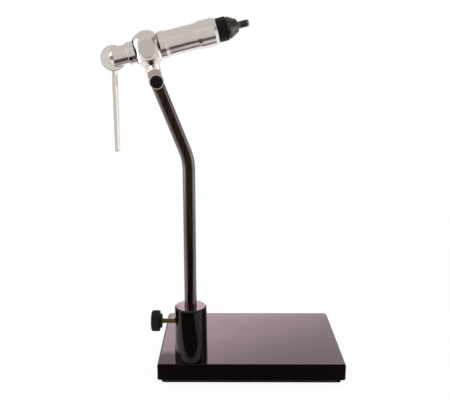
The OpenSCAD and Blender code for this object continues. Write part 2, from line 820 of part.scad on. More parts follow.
module nose_cone() {
  color([0.05, 0.05, 0.05]) difference() {
    along(0) rotate_extrude() polygon([
      [0, spigot_x],
      [spigot_d / 2, spigot_x],
      [spigot_d / 2, ring_x + nose_ring_l + slide_gap],
      [cone_back_d / 2 - edge_bevel, ring_x + nose_ring_l + slide_gap],
      [cone_back_d / 2 - edge_bevel, cone_x],
      [cone_back_d / 2, cone_x + edge_bevel],
      [cone_front_d / 2, cone_end_x - cone_round],
      [cone_front_d / 2 - cone_round, cone_end_x],
      [0, cone_end_x]
    ]);
    along(0) rotate_extrude() polygon([
      [0, spigot_x - over],
      [jaw_shank_d / 2 + run_fit, spigot_x - over],
      [jaw_shank_d / 2 + run_fit, jaw_taper_x + tip_gap],
      [jaw_tip_d / 2 + tip_gap, jaw_taper_x + jaw_taper_l + tip_gap],
      [jaw_tip_d / 2 + tip_gap, cone_end_x + over],
      [0, cone_end_x + over]
    ]);
  }
}

module nose_ring() {
  color([0.06, 0.06, 0.06]) difference() {
    along(ring_x) bevelled_bar(nose_ring_d, nose_ring_l, edge_bevel, edge_bevel);
    along(ring_x - over) cylinder(d = spigot_d + 2 * run_fit, h = nose_ring_l + 2 * over);
  }
}

base_plate();
base_pad();
post_socket();
socket_bolt();
socket_washer();
clamp_tip();
clamp_screw();
clamp_knob();
post();
pivot_screw();
pivot_washer();
head_block();
spindle_bushing();
brake_plug();
tension_stud();
tension_knob();
rear_washer();
front_washer();
spindle();
barrel();
tail_block();
tail_set_screw();
cam_pin();
cam_disc();
cam_lever();
push_rod();
return_spring();
collet_jaws();
nose_cone();
nose_ring();
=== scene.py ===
import json
import math
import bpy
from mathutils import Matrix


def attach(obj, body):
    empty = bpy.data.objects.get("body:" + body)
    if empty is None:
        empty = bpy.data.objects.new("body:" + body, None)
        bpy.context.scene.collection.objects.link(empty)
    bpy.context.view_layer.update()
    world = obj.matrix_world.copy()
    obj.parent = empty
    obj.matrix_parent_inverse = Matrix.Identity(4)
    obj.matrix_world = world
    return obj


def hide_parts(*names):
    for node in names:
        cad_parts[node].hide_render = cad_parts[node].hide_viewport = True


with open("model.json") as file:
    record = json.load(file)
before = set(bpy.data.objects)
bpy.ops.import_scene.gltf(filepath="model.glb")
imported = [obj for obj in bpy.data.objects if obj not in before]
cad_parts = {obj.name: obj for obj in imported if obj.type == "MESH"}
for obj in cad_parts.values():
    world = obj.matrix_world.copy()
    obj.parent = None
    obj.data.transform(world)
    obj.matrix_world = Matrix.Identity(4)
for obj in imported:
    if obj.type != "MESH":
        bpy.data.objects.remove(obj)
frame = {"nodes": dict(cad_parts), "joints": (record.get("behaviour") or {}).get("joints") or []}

from types import SimpleNamespace

import bmesh
import bpy
import numpy as np
from bpy.props import FloatProperty, FloatVectorProperty, IntProperty, PointerProperty
from mathutils import Matrix, Vector

bl_info = {
    "name": "Fly tying vise",
    "version": (1, 0, 0),
    "blender": (4, 5, 0),
    "location": "View3D > Sidebar > Vise",
    "description": "Dresses the packed vise with finished pieces, materials, a stage and a camera",
    "category": "Object",
}

MM = 0.001
TURN = 2 * math.pi
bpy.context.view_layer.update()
JOINTS = {joint["name"]: joint for joint in frame["joints"]}


# Places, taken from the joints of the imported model

def place(origin, x_axis, y_axis):
    """A frame at origin with the given X and Y axes; Z stands square on both."""
    x_axis, y_axis = Vector(x_axis).normalized(), Vector(y_axis).normalized()
    z_axis = x_axis.cross(y_axis).normalized()
    return Matrix.Translation(Vector(origin)) @ Matrix((x_axis, y_axis, z_axis)).transposed().to_4x4()


UP = Vector((0, 0, 1))
SWIVEL = JOINTS["socket_swivel"]
TILT = JOINTS["head_tilt"]
SPIN = JOINTS["barrel_rotation"]
CAM = JOINTS["cam_turn"]
CLAMP = JOINTS["clamp_turn"]
ACROSS = Vector(TILT["axis"])
LEVEL = ACROSS.cross(UP)
# Where things stand: base and pad, socket, post, neck, head, cam pin, clamp screw
FLAT = Matrix.Identity(4)
SOCKET = place(SWIVEL["pos_m"], (1, 0, 0), (0, 1, 0))
POST = place((SWIVEL["pos_m"][0], SWIVEL["pos_m"][1], 0), LEVEL, ACROSS)
HEAD = place(SPIN["pos_m"], SPIN["axis"], ACROSS)
NECK = place(TILT["pos_m"], SPIN["axis"], ACROSS)
PIN = place(CAM["pos_m"], LEVEL, ACROSS)
THUMB = place(CLAMP["pos_m"], CLAMP["axis"], (0, 1, 0))


def standing(matrix):
    """The frame whose X runs up the given frame's Z, for pieces turned about an upright axis."""
    return matrix @ Matrix(((0, 0, -1, 0), (0, 1, 0, 0), (1, 0, 0, 0), (0, 0, 0, 1)))


def facing(matrix):
    """The frame whose X runs out to the front of the given frame, along its -Y."""
    return matrix @ Matrix(((0, 1, 0, 0), (-1, 0, 0, 0), (0, 0, 1, 0), (0, 0, 0, 1)))


# Stands a solid made along X upright, and lays an upright one's cutter along X
UPRIGHT = standing(FLAT)
LAID = UPRIGHT.inverted()


def within(matrix, other):
    """The other frame's origin, in millimetres in the given frame."""
    return matrix.inverted() @ other.translation / MM


def local_points(node, matrix):
    """A CAD node's points, in millimetres in the given frame."""
    mesh = frame["nodes"][node].data
    points = np.empty(len(mesh.vertices) * 3, np.float32)
    mesh.vertices.foreach_get("co", points)
    inverse = np.array(matrix.inverted())
    return (points.reshape(-1, 3) @ inverse[:3, :3].T + inverse[:3, 3]) / MM


def span(node, matrix):
    """Lowest and highest coordinates of a CAD node, in millimetres in the given frame."""
    points = local_points(node, matrix)
    return points.min(0), points.max(0)


def extent(node, matrix):
    """Where a CAD node starts and stops along the X axis of matrix, and its radius about it, in millimetres."""
    low, high = span(node, matrix)
    return low[0], high[0], high[1]


def length(label, words, millimetres):
    """A length that the user may change, kept in metres."""
    return FloatProperty(name=label, description=words, default=millimetres * MM, min=0, unit="LENGTH")


def colour(label, words, *rgb):
    """A colour that the user may change."""
    return FloatVectorProperty(name=label, description=words, default=rgb, min=0, max=1, size=3, subtype="COLOR")


def in_mm(group):
    """The property group's values, with its lengths in millimetres and its colours as tuples."""
    values = {}
    for key, prop in group.bl_rna.properties.items():
        if key not in ("rna_type", "name"):
            value = getattr(group, key)
            values[key] = tuple(value) if prop.is_array else value / MM if prop.unit == "LENGTH" else value
    return SimpleNamespace(**values)


# Surfaces

HOLD = 0.05  # How far past a rounded corner a side gets one more point, in millimetres


def soften(outline, radius, steps=4):
    """An open outline with each inner corner rounded: the corner becomes points at equal angles on the arc that
    touches both sides, with one more point a little way along each side to keep it flat."""
    corners = np.array(outline, float)
    radii = np.broadcast_to(radius, len(corners))
    out = [corners[:1]]
    for before, corner, after, r in zip(corners[:-2], corners[1:-1], corners[2:], radii[1:-1]):
        u, v = before - corner, after - corner
        lu, lv = np.hypot(*u), np.hypot(*v)
        u, v = u / lu, v / lv
        half = math.acos(np.clip(u @ v, -1, 1)) / 2
        if r <= 0 or half > 1.5:
            out.append(corner[None])
            continue
        reach = min(r / math.tan(half), 0.4 * lu, 0.4 * lv)
        r = reach * math.tan(half)
        middle = corner + (u + v) / np.hypot(*(u + v)) * r / math.sin(half)
        turn = np.linspace(-1, 1, steps + 1) * (math.pi / 2 - half)
        inward = (corner - middle) / np.hypot(*(corner - middle))
        side = np.array([-inward[1], inward[0]])
        if side @ u > 0:
            side = -side
        arc = middle + r * (np.cos(turn)[:, None] * inward + np.sin(turn)[:, None] * side)
        grip = min(HOLD, 0.3 * (lu - reach), 0.3 * (lv - reach))
        out += [arc[:1] + u * grip, arc, arc[-1:] + v * grip]
    out.append(corners[-1:])
    return np.concatenate(out)


def spun(outline, sides, shape=None):
    """Rings about X: the outline gives (along, radius), and at each angle the point is
    (along, radius cos, radius sin). shape(angle, along, radius), if given, returns the radius instead."""
    outline = np.asarray(outline, float)
    along, radius = outline[:, 0][:, None], outline[:, 1][:, None]
    angle = np.arange(sides)[None, :] * TURN / sides
    if shape is not None:
        radius = shape(angle, along, radius)
    radius = np.broadcast_to(radius, (len(outline), sides))
    return np.stack([np.broadcast_to(along, radius.shape), radius * np.cos(angle), radius * np.sin(angle)], -1)


def skin(rings, loop=False):
    """Points and faces over rings of shape (count, sides, 3): four-sided faces join each ring to the next. With
    loop the last joins the first; otherwise each end is closed by a fan round its middle."""
    count, sides = rings.shape[:2]
    points = rings.reshape(-1, 3)
    i = np.arange(count if loop else count - 1)[:, None]
    j = np.arange(sides)[None, :]
    ahead, beside = (i + 1) % count, (j + 1) % sides
    faces = np.stack([i * sides + j, i * sides + beside, ahead * sides + beside, ahead * sides + j], -1)
    faces = faces.reshape(-1, 4).tolist()
    if not loop:
        j = np.arange(sides)
        beside = (j + 1) % sides
        low, high = count * sides, count * sides + 1
        points = np.concatenate([points, rings[:1].mean(1), rings[-1:].mean(1)])
        faces += np.stack([np.full(sides, low), beside, j], -1).tolist()
        base = (count - 1) * sides
        faces += np.stack([np.full(sides, high), base + j, base + beside], -1).tolist()
    return points, faces


def turned(outline, sides, radius, loop=False, steps=4):
    """A turned solid about X, its corners softened by one radius or a radius each. An open outline runs from the
    axis to the axis. A loop is a tube: it is cut in the middle of its first side, softened, and joined up again."""
    outline = np.array(outline, float)
    if loop:
        middle = (outline[0] + outline[1]) / 2
        radii = np.broadcast_to(radius, len(outline))
        outline = np.concatenate([middle[None], outline[1:], outline[:1], middle[None]])
        radius = np.concatenate([[0], radii[1:], radii[:1], [0]])
        return skin(spun(soften(outline, radius, steps)[:-1], sides), True)
    return skin(spun(soften(outline, radius, steps)[1:-1], sides))


def round_corners(w, d, r, steps=10):
    """An upright rectangle's outline with round corners: each corner is points at equal angles on its arc, with
    one more a little way along each side."""
    turn = np.linspace(0, math.pi / 2, steps + 1)
    arc = np.stack([np.cos(turn), np.sin(turn)], -1) * r
    arc = np.concatenate([arc[:1] - [0, HOLD], arc, arc[-1:] - [HOLD, 0]])
    middle = np.array([w / 2 - r, d / 2 - r])
    parts = []
    for quarter, signs in enumerate(((1, 1), (-1, 1), (-1, -1), (1, -1))):
        c, s = round(math.cos(quarter * math.pi / 2)), round(math.sin(quarter * math.pi / 2))
        parts.append(arc @ np.array([[c, s], [-s, c]]) + middle * signs)
    return np.concatenate(parts)


def slab(w, d, r, rise):
    """A flat block with round corners: rise gives (inset, height) up the wall, and at each the rounded
    rectangle is drawn smaller by the inset on every side."""
    rings = []
    for inset, z in soften(rise, 0.3)[1:-1]:
        ring = round_corners(w - 2 * inset, d - 2 * inset, max(r - inset, 0.3))
        rings.append(np.concatenate([ring, np.full((len(ring), 1), z)], 1))
    return skin(np.array(rings))


def key_recess(across, start):
    """The shape of a screw with a hexagon key's recess: past the start, rings within the recess go out to the
    hexagon's sides, which stand at across / 2 over the cosine of the angle from the middle of a side."""
    def shape(angle, along, r):
        side = across / 2 / np.cos((angle + math.pi / 6) % (math.pi / 3) - math.pi / 6)
        return np.where((r < 0.56 * across) & (along > start), side, r)
    return shape


def between(along, start, stop, plain, fade):
    """1 along the middle of a run. At either end it falls to 0 over the fade, and is 0 for the plain length."""
    return np.clip((along - start - plain) / fade, 0, 1) * np.clip((stop - plain - along) / fade, 0, 1)


def transformed(solid, matrix):
    """Points and faces moved by the matrix."""
    m = np.array(matrix)
    return np.asarray(solid[0]) @ m[:3, :3].T + m[:3, 3], solid[1]


# Cutting

CUT, JOIN, COMMON = "DIFFERENCE", "UNION", "INTERSECT"
FAR = 23  # Takes a cutter out through any wall, in millimetres from the middle
# Radii of holes: the clamp screw's and the tension stud's, the spindle's, and the push rod's and cam pin's
SCREW_HOLE, SPINDLE_HOLE, ROD_HOLE = 2.09, 4.2, 1.66


def loose(points, faces):
    """A bare object from points and faces in millimetres, to be cut or to cut with."""
    mesh = bpy.data.meshes.new("blank")
    mesh.from_pydata(np.asarray(points).tolist(), [], faces)
    mesh.update()
    blank = bpy.data.objects.new("blank", mesh)
    bpy.context.scene.collection.objects.link(blank)
    return blank


def box(low, high):
    """Points and faces of a cutter's box."""
    x, y, z = ([a, b] for a, b in zip(low, high))
    points = [(x[i], y[j], z[k]) for i in (0, 1) for j in (0, 1) for k in (0, 1)]
    return points, [(0, 1, 3, 2), (4, 6, 7, 5), (0, 4, 5, 1), (2, 3, 7, 6), (0, 2, 6, 4), (1, 5, 7, 3)]


def rod(start, stop, radius, matrix=FLAT, sides=96):
    """Points and faces of a round cutter from start to stop on the X axis of matrix, all in millimetres."""
    return transformed(skin(spun([(start, radius), (stop, radius)], sides)), matrix)


def shift(x=0, y=0, z=0):
    """A move in millimetres."""
    return Matrix.Translation((x, y, z))


def metre(matrix):
    """The same frame with its place given in metres instead of millimetres."""
    out = matrix.copy()
    out.translation = matrix.translation * MM
    return out


def carve(solid, cutters):
    """The solid after each (operation, cutter) in turn, as a bmesh net. The solid and the cutters are points and
    faces in millimetres."""
    work = loose(*solid)
    tools = []
    for operation, cutter in cutters:
        tools.append(loose(*cutter))
        step = work.modifiers.new("cut", "BOOLEAN")
        step.operation, step.object, step.solver = operation, tools[-1], "EXACT"
    bpy.context.view_layer.update()
    mesh = bpy.data.meshes.new_from_object(work.evaluated_get(bpy.context.evaluated_depsgraph_get()))
    for blank in [work, *tools]:
        old = blank.data
        bpy.data.objects.remove(blank)
        bpy.data.meshes.remove(old)
    if not mesh.polygons:
        raise RuntimeError("a cut left nothing")
    net = bmesh.new()
    net.from_mesh(mesh)
    bpy.data.meshes.remove(mesh)
    bmesh.ops.remove_doubles(net, verts=net.verts, dist=0.002)
    bmesh.ops.dissolve_degenerate(net, edges=net.edges, dist=0.002)
    return net


def piece(name, solid, matrix, body, finish, replaces=(), bevel=0):
    """One finished piece: the solid in millimetres in the frame of matrix, either points and faces or a carved
    net, put in its place, shaded smooth between sharp edges and tied to its body, with the nodes it replaces hidden."""
    mesh = bpy.data.meshes.new(name)
    if isinstance(solid, bmesh.types.BMesh):
        solid.to_mesh(mesh)
        solid.free()
    else:
        mesh.from_pydata(np.asarray(solid[0]).tolist(), [], solid[1])
    mesh.transform(matrix @ Matrix.Scale(MM, 4))
    mesh.validate()
    mesh.polygons.foreach_set("use_smooth", np.ones(len(mesh.polygons), bool))
    mesh.set_sharp_from_angle(angle=math.radians(32))
    mesh.materials.append(finish)
    made = bpy.data.objects.new(name, mesh)
    bpy.context.scene.collection.objects.link(made)
    if bevel:
        edge = made.modifiers.new("worn edge", "BEVEL")
        edge.width, edge.segments = bevel * MM, 2
        edge.limit_method, edge.angle_limit = "ANGLE", math.radians(35)
        edge.use_clamp_overlap, edge.harden_normals = True, True
    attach(made, body)
    if replaces:
        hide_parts(*replaces)


def dress(node, finish):
    """Gives a CAD node its finish."""
    mesh = frame["nodes"][node].data
    mesh.materials.clear()
    mesh.materials.append(finish)


# Shader maths

class Value:
    """One socket of a material, on which Python's signs add Math nodes."""

    def __init__(self, shop, socket):
        self.shop, self.socket = shop, socket

    def _math(self, operation, *parts):
        return self.shop.node("ShaderNodeMath", {"operation": operation}, dict(enumerate(parts)))

    def __add__(self, other):
        return self._math("ADD", self, other)

    def __sub__(self, other):
        return self._math("SUBTRACT", self, other)

    def __rsub__(self, other):
        return self._math("SUBTRACT", other, self)

    def __mul__(self, other):
        return self._math("MULTIPLY", self, other)

    def __truediv__(self, other):
        return self._math("DIVIDE", self, other)

    def __pow__(self, other):
        return self._math("POWER", self, other)

    __radd__, __rmul__ = __add__, __mul__

    def near(self, middle, reach):
        """1 at the middle value, falling to 0 at the reach on either side."""
        gap = self._math("ABSOLUTE", self - middle)
        return self.shop.ramp(gap, 0, reach, 1, 0)

    def over(self, other):
        """The larger of the two."""
        return self._math("MAXIMUM", self, other)


class Shop:
    """A node tree under construction."""

    def __init__(self, tree):
        self.tree = tree

    def node(self, kind, settings, inputs, output=0):
        """A node of that kind, with its settings made first and then the values or links of its sockets."""
        made = self.tree.nodes.new(kind)
        for key, value in settings.items():
            setattr(made, key, value)
        for key, value in inputs.items():
            if isinstance(value, Value):
                self.tree.links.new(value.socket, made.inputs[key])
            else:
                made.inputs[key].default_value = value
        return Value(self, made.outputs[output])

    def ramp(self, value, low, high, start=0, stop=1):
        """A smooth step from start to stop as the value goes from low to high."""
        return self.node("ShaderNodeMapRange", {"interpolation_type": "SMOOTHSTEP"},
                         {0: value, 1: low, 2: high, 3: start, 4: stop})

    def streak(self, value, scale, detail=2.0, rough=0.6):
        """Noise along one number only, for fine turned or drawn lines."""
        return self.node("ShaderNodeTexNoise", {"noise_dimensions": "1D"},
                         {"W": value, "Scale": scale, "Detail": detail, "Roughness": rough})

    def mix(self, mask, low, high):
        """The colour low where the mask is 0, and high where it is 1."""
        sockets = {0: mask}
        for key, tint in ((6, low), (7, high)):
            sockets[key] = tint if isinstance(tint, Value) else (*tint, 1)
        return self.node("ShaderNodeMix", {"data_type": "RGBA"}, sockets, 2)

    def vector(self, x, y, z):
        """A vector from three numbers or links."""
        return self.node("ShaderNodeCombineXYZ", {}, {0: x, 1: y, 2: z})

    def distance(self, a, b):
        """Root of the sum of the two numbers' squares, the distance from an axis."""
        return (a * a + b * b) ** 0.5


class Finish(Shop):
    """A material under construction: its nodes and its Principled shader."""

    def __init__(self, name, matrix=FLAT):
        self.material = bpy.data.materials.new(name)
        self.material.use_nodes = True
        super().__init__(self.material.node_tree)
        self.shader = self.tree.nodes["Principled BSDF"]
        turn = matrix.to_3x3().transposed()
        self.place = self.node("ShaderNodeMapping", {}, {
            0: self.node("ShaderNodeTexCoord", {}, {}, "Object"),
            1: turn @ matrix.translation / -MM, 2: Vector(turn.to_euler()), 3: Vector((1 / MM,) * 3)})
        self.x, self.y, self.z = (self.node("ShaderNodeSeparateXYZ", {}, {0: self.place}, k) for k in "XYZ")

    def set(self, **values):
        """Numbers, colours or links of the Principled shader, by socket name with _ for a space."""
        for key, value in values.items():
            socket = self.shader.inputs[key.replace("_", " ")]
            if isinstance(value, Value):
                self.tree.links.new(value.socket, socket)
            else:
                socket.default_value = (*value, 1) if isinstance(value, tuple) else value
        return self

    def noise(self, scale, detail=2.0, rough=0.5, vector=None):
        """Noise of that many bumps per millimetre, from 0 to 1."""
        return self.node("ShaderNodeTexNoise", {}, {"Vector": vector or self.place, "Scale": scale,
                                                    "Detail": detail, "Roughness": rough})

    def bump(self, height, depth):
        """The Normal from a height between 0 and 1 that is depth millimetres tall."""
        return self.node("ShaderNodeBump", {}, {"Strength": 1.0, "Distance": depth * MM, "Height": height})

    def upward(self):
        """1 on faces that look up, falling to 0 by about 40 degrees."""
        look = self.node("ShaderNodeNewGeometry", {}, {}, "Normal")
        return self.ramp(self.node("ShaderNodeSeparateXYZ", {}, {0: look}, "Z"), 0.75, 0.97)


def shade(tint, *factors):
    """The tint made darker or lighter, by one factor or by three for red, green and blue."""
    return tuple(min(1, c * k) for c, k in zip(tint, factors * (3 // len(factors))))


# Sizes and colours that a user may change

class ViseBase(bpy.types.PropertyGroup):
    corner: length("Plate corner", "Radius of the plate's upright corners", 2.5)
    bevel: length("Plate bevel", "Bevel round the plate's top edge", 1.6)
    pad_corner: length("Pad corner", "Radius of the rubber pad's corners", 2.5)
    black: colour("Plate black", "Colour of the plate's black finish", 0.003, 0.0008, 0.0005)
    sheen: colour("Plate sheen", "Colour of the gloss on the plate's top", 0.27, 0.185, 0.212)
    rubber: colour("Rubber", "Colour of the pad", 0.0105, 0.0088, 0.0088)


class ViseSocket(bpy.types.PropertyGroup):
    bevel: length("Top bevel", "Bevel round the socket's top edge", 1.0)
    bore: length("Bore", "Diameter of the hole for the post", 9.645)
    floor: length("Floor", "Thickness of the floor under the bore", 9.0)
    flutes: IntProperty(name="Knob flutes", description="Number of finger flutes round the clamp knob", default=24,
                        min=8, max=48)
    pitch: length("Thread pitch", "Distance between the clamp screw's threads", 0.8)
    knob: colour("Knob black", "Colour of the clamp knob", 0.0055, 0.0024, 0.0018)
    zinc: colour("Yellow zinc", "Colour of the clamp screw's plating", 0.42, 0.34, 0.16)


class VisePost(bpy.types.PropertyGroup):
    bend: length("Bend radius", "Radius of the bend, to the post's axis", 42.0)
    lean: FloatProperty(name="Lean", description="Lean of the post's upper arm", default=math.radians(21.5),
                        min=0, max=1, subtype="ANGLE")
    key: length("Pivot key", "Hexagon key size of the pivot screw", 4.76)
    black: colour("Post black", "Colour of the post's black finish", 0.024, 0.013, 0.0105)
    # The post's light lines are painted reflections, laid into its colour by the angle to the eye
    line: colour("Post line", "Colour of the light lines down the post's sides", 0.18, 0.155, 0.14)


class ViseHead(bpy.types.PropertyGroup):
    ear: length("Ear", "Thickness of the ear in front of the pivot", 3.3)
    seat: length("Seat radius", "Radius of the flat milled round the ear's end", 8.8)
    cove: length("Cove", "Radius of the cove between the neck and the block", 5.7)
    slot: length("Slot width", "Width of the slot through the neck", 2.4)
    slot_rise: length("Slot height", "Height of the slot through the neck", 3.0)
    silver: colour("Silver", "Colour of the satin aluminium", 0.84, 0.765, 0.72)
    disc: colour("Disc", "Colour of the brushed discs", 0.77, 0.71, 0.665)


class ViseBarrel(bpy.types.PropertyGroup):
    collar: length("Collar", "Length of the barrel's rear collar", 3.6)
    rear_taper: length("Rear taper", "Length of the taper in front of the collar", 2.4)
    waist: length("Waist", "Length of the barrel's long middle", 21.2)
    waist_across: length("Waist diameter", "Diameter of the barrel's long middle", 18.4)
    front_taper: length("Front taper", "Length of the taper up to the front section", 2.3)
    rim: length("Rim bevel", "Depth of the bevel at the barrel's front", 0.7)
    rim_run: length("Rim bevel length", "Length of that bevel along the barrel", 2.2)


class ViseNose(bpy.types.PropertyGroup):
    groove: length("Groove", "Gap between the turning ring and the cone", 0.8)
    cone_back: length("Cone back", "Diameter of the cone at its back", 16.2)
    cone_front: length("Cone front", "Diameter of the cone at its front", 9.0)
    slit: length("Slit", "Width of the slit between the jaws", 0.4)
    hole: length("Hook hole", "Diameter of the hook hole", 1.6)
    black: colour("Ring black", "Colour of the turning ring", 0.008, 0.005, 0.0045)
    cone: colour("Cone black", "Colour of the polished black cone", 0.085, 0.069, 0.062)
    jaw: colour("Jaw steel", "Colour of the jaws", 0.12, 0.105, 0.095)


class ViseTail(bpy.types.PropertyGroup):
    bar: length("Tail bar", "Diameter of the forked tail bar", 14.3)
    ball: length("Ball end", "Radius of the tail bar's ball end", 8.5)
    fork: length("Fork", "Width of the fork's slot", 4.4)
    pin: length("Pin", "Diameter of the cam pin", 3.2)
    screw: length("Set screw", "Diameter of the set screw", 2.9)
    steel: colour("Lever steel", "Colour of the polished lever", 0.84, 0.79, 0.755)
    face: colour("Cam face", "Colour of the cam disc's brushed faces", 1.0, 0.93, 0.87)


# Finishes

def polished_black(name, matrix, tint, line):
    """Blackened and polished bar with painted reflections: dark where it faces the eye and paler where it turns away,
    which lays light lines down its sides, with faint marks.
    """
    f = Finish(name, matrix)
    facing_for_painted_sheen = f.node("ShaderNodeLayerWeight", {}, {0: 0.5}, "Facing")
    smear = f.noise(0.05, 3, 0.6)
    drawn = f.noise(1, 3, 0.6, f.vector(1.6 * f.x, 1.6 * f.y, 0.02 * f.z))
    # Painted reflection: the line colour goes in where the surface turns away from the eye
    lines = f.ramp(facing_for_painted_sheen, 0.08, 0.3) * f.ramp(drawn, 0.3, 0.6, 0.75, 1)
    return f.set(
        Base_Color=f.mix(lines, f.mix(f.ramp(drawn, 0.4, 0.65), shade(tint, 0.5), shade(tint, 2)), line),
        Metallic=0.9, Specular_IOR_Level=0.2, Roughness=0.12 + 0.06 * smear,
        Normal=f.bump(f.noise(0.9, 2, 0.5), 0.002)).material


def plate_black(name, tint, sheen, gloss=0.04, rough=0.14):
    """Black enamel polished on top: faces that look up mirror with a mauve tint, a painted reflection that grows
    brighter to the back left, with faint long smears, fine specks and a painted dark reflection left of the socket,
    and the sides stay black."""
    f = Finish(name)
    top = f.upward()
    smear = f.noise(0.02, 3, 0.6, f.vector(f.x, 2.2 * f.y, f.z))
    speck = f.ramp(f.noise(1.3, 1, 0.4), 0.74, 0.78)
    # Painted reflection: the top's tint is lighter towards the back left and darker to the front right
    smears_and_painted_sheen = f.mix(f.ramp(1.25 * f.y - 0.9 * f.x, -105, 105), shade(sheen, 0.57), shade(sheen, 1.43))
    smears_and_painted_sheen = f.mix(0.2 * f.ramp(smear, 0.4, 0.65), smears_and_painted_sheen, shade(sheen, 0.7))
    # Painted dark reflection: a darker patch on the top left of the socket
    painted_dark_reflection = f.ramp(f.distance(f.x + 66, 0.8 * f.y + 33.6), 5, 14, 0.85, 0)
    smears_and_painted_sheen = f.mix(painted_dark_reflection, smears_and_painted_sheen, shade(sheen, 0.25))
    return f.set(
        Base_Color=f.mix(top, tint, smears_and_painted_sheen), Metallic=top, Specular_IOR_Level=gloss,
        Roughness=rough + 0.06 * smear + 0.25 * speck * top, Normal=f.bump(f.noise(0.7, 2, 0.5), 0.004)).material


def speckled_rubber(name, tint):
    """Pressed rubber crumb: pale and dark grains a millimetre or so across on a rough black ground."""
    f = Finish(name)
    crumb = f.node("ShaderNodeTexVoronoi", {}, {"Vector": f.place, "Scale": 0.9, "Randomness": 1.0}, "Color")
    grain = f.node("ShaderNodeSeparateColor", {}, {0: crumb}, 0)
    pale = f.ramp(grain, 0.78, 0.95)
    return f.set(
        Base_Color=f.mix(pale, f.mix(f.noise(2.2, 4), shade(tint, 0.4), shade(tint, 1.6)), shade(tint, 5)),
        Roughness=0.72 + 0.2 * f.noise(1.5, 3), Specular_IOR_Level=0.2,
        Normal=f.bump(f.noise(1.1, 5, 0.65), 0.12)).material


def satin_silver(name, matrix, tint, lathe, rough=0.14, milled=None):
    """Satin turned aluminium: fine rings at each place along the lathe's axis, a soft cloud of handling marks,
    and the odd deeper ring. milled(finish), if given, is the mask of a duller, browner face."""
    f = Finish(name, matrix)
    along = (f.x, f.y, f.z)[lathe]
    ring = f.streak(along, 9, 4, 0.7)
    deep = f.ramp(f.streak(along, 1.3, 1), 0.66, 0.74)
    cloud = f.noise(0.12, 3, 0.55)
    tone = f.mix(cloud, shade(tint, 0.93), shade(tint, 1.04))
    tone = f.mix(0.35 * deep, tone, shade(tint, 0.8))
    if milled:
        tone = f.mix(milled(f), tone, shade(tint, 0.64, 0.59, 0.56))
    return f.set(
        Base_Color=tone, Metallic=1.0,
        Roughness=rough + 0.08 * ring + 0.04 * cloud, Normal=f.bump(ring + 0.6 * deep, 0.0025)).material


def brushed_disc(name, matrix, tint, rough=0.3, rim=0.0):
    """A faced disc about the X axis of matrix: rings at each distance from the axis, a slow swirl of tone round
    it and, with a rim radius, a darker line of painted shade just inside that rim."""
    f = Finish(name, matrix)
    out = f.distance(f.y, f.z)
    ring = f.streak(out, 7, 4, 0.75)
    tone = f.mix(f.noise(0.3, 3), shade(tint, 0.94), shade(tint, 1.06))
    if rim:
        # Painted shade: a darker line just inside the rim, where the edge turns away
        tone = f.mix(0.6 * f.ramp(out, rim - 0.9, rim - 0.5), tone, shade(tint, 0.5))
    return f.set(
        Base_Color=f.mix(0.2 * ring, tone, shade(tint, 0.8)), Metallic=1.0,
        Roughness=rough + 0.16 * ring, Normal=f.bump(ring, 0.003)).material


def polished_steel(name, matrix, tint, rough=0.07):
    """Drawn and polished bar: faint lines that run along X, and a few small handling marks."""
    f = Finish(name, matrix)
    drawn = f.noise(1, 4, 0.6, f.vector(0.05 * f.x, 2.5 * f.y, 2.5 * f.z))
    mark = f.ramp(f.noise(0.5, 4, 0.7), 0.62, 0.75)
    return f.set(
        Base_Color=f.mix(0.25 * mark, tint, shade(tint, 0.75)), Metallic=1.0,
        Roughness=rough + 0.08 * drawn + 0.12 * mark, Normal=f.bump(drawn, 0.003)).material


def black_steel(name, matrix, tint, metal=0.55, rough=0.34, grain=0.01, gloss=0.5):
    """Blackened steel: a thin dark skin with a fine grain, a little browner and smoother where it is handled."""
    f = Finish(name, matrix)
    worn = f.ramp(f.noise(0.35, 4, 0.65), 0.5, 0.72)
    return f.set(
        Base_Color=f.mix(worn, tint, shade(tint, 2.1, 1.9, 1.7)), Metallic=metal, Specular_IOR_Level=gloss,
        Roughness=rough + 0.12 * f.noise(2.5, 3) - 0.08 * worn, Normal=f.bump(f.noise(4, 4, 0.7), grain)).material


def matte_black(name, matrix, tint):
    """Black plastic with a fine moulded grain and a slight sheen on its high spots."""
    f = Finish(name, matrix)
    grain = f.noise(3.5, 4, 0.6)
    return f.set(
        Base_Color=f.mix(f.noise(0.3, 2), tint, shade(tint, 1.7)), Roughness=0.42 + 0.2 * grain,
        Specular_IOR_Level=0.25, Normal=f.bump(grain, 0.02)).material


def yellow_zinc(name, matrix, tint):
    """Yellow zinc plating: gold that drifts towards olive and rose, with painted shade in the thread's roots."""
    f = Finish(name, matrix)
    drift = f.noise(0.45, 3, 0.6)
    tone = f.mix(f.ramp(drift, 0.35, 0.65), shade(tint, 0.75, 0.85, 0.8), tint)
    tone = f.mix(f.ramp(drift, 0.6, 0.75), tone, shade(tint, 1.05, 0.8, 1.2))
    # Painted shade: much darker down in the thread's roots
    painted_root_shade = f.ramp(f.distance(f.y, f.z), 1.62, 1.9, 1, 0)
    return f.set(
        Base_Color=f.mix(0.75 * painted_root_shade, tone, shade(tint, 0.15)), Metallic=1.0, Roughness=0.3 + 0.2 * drift,
        Normal=f.bump(f.noise(5, 3), 0.008)).material


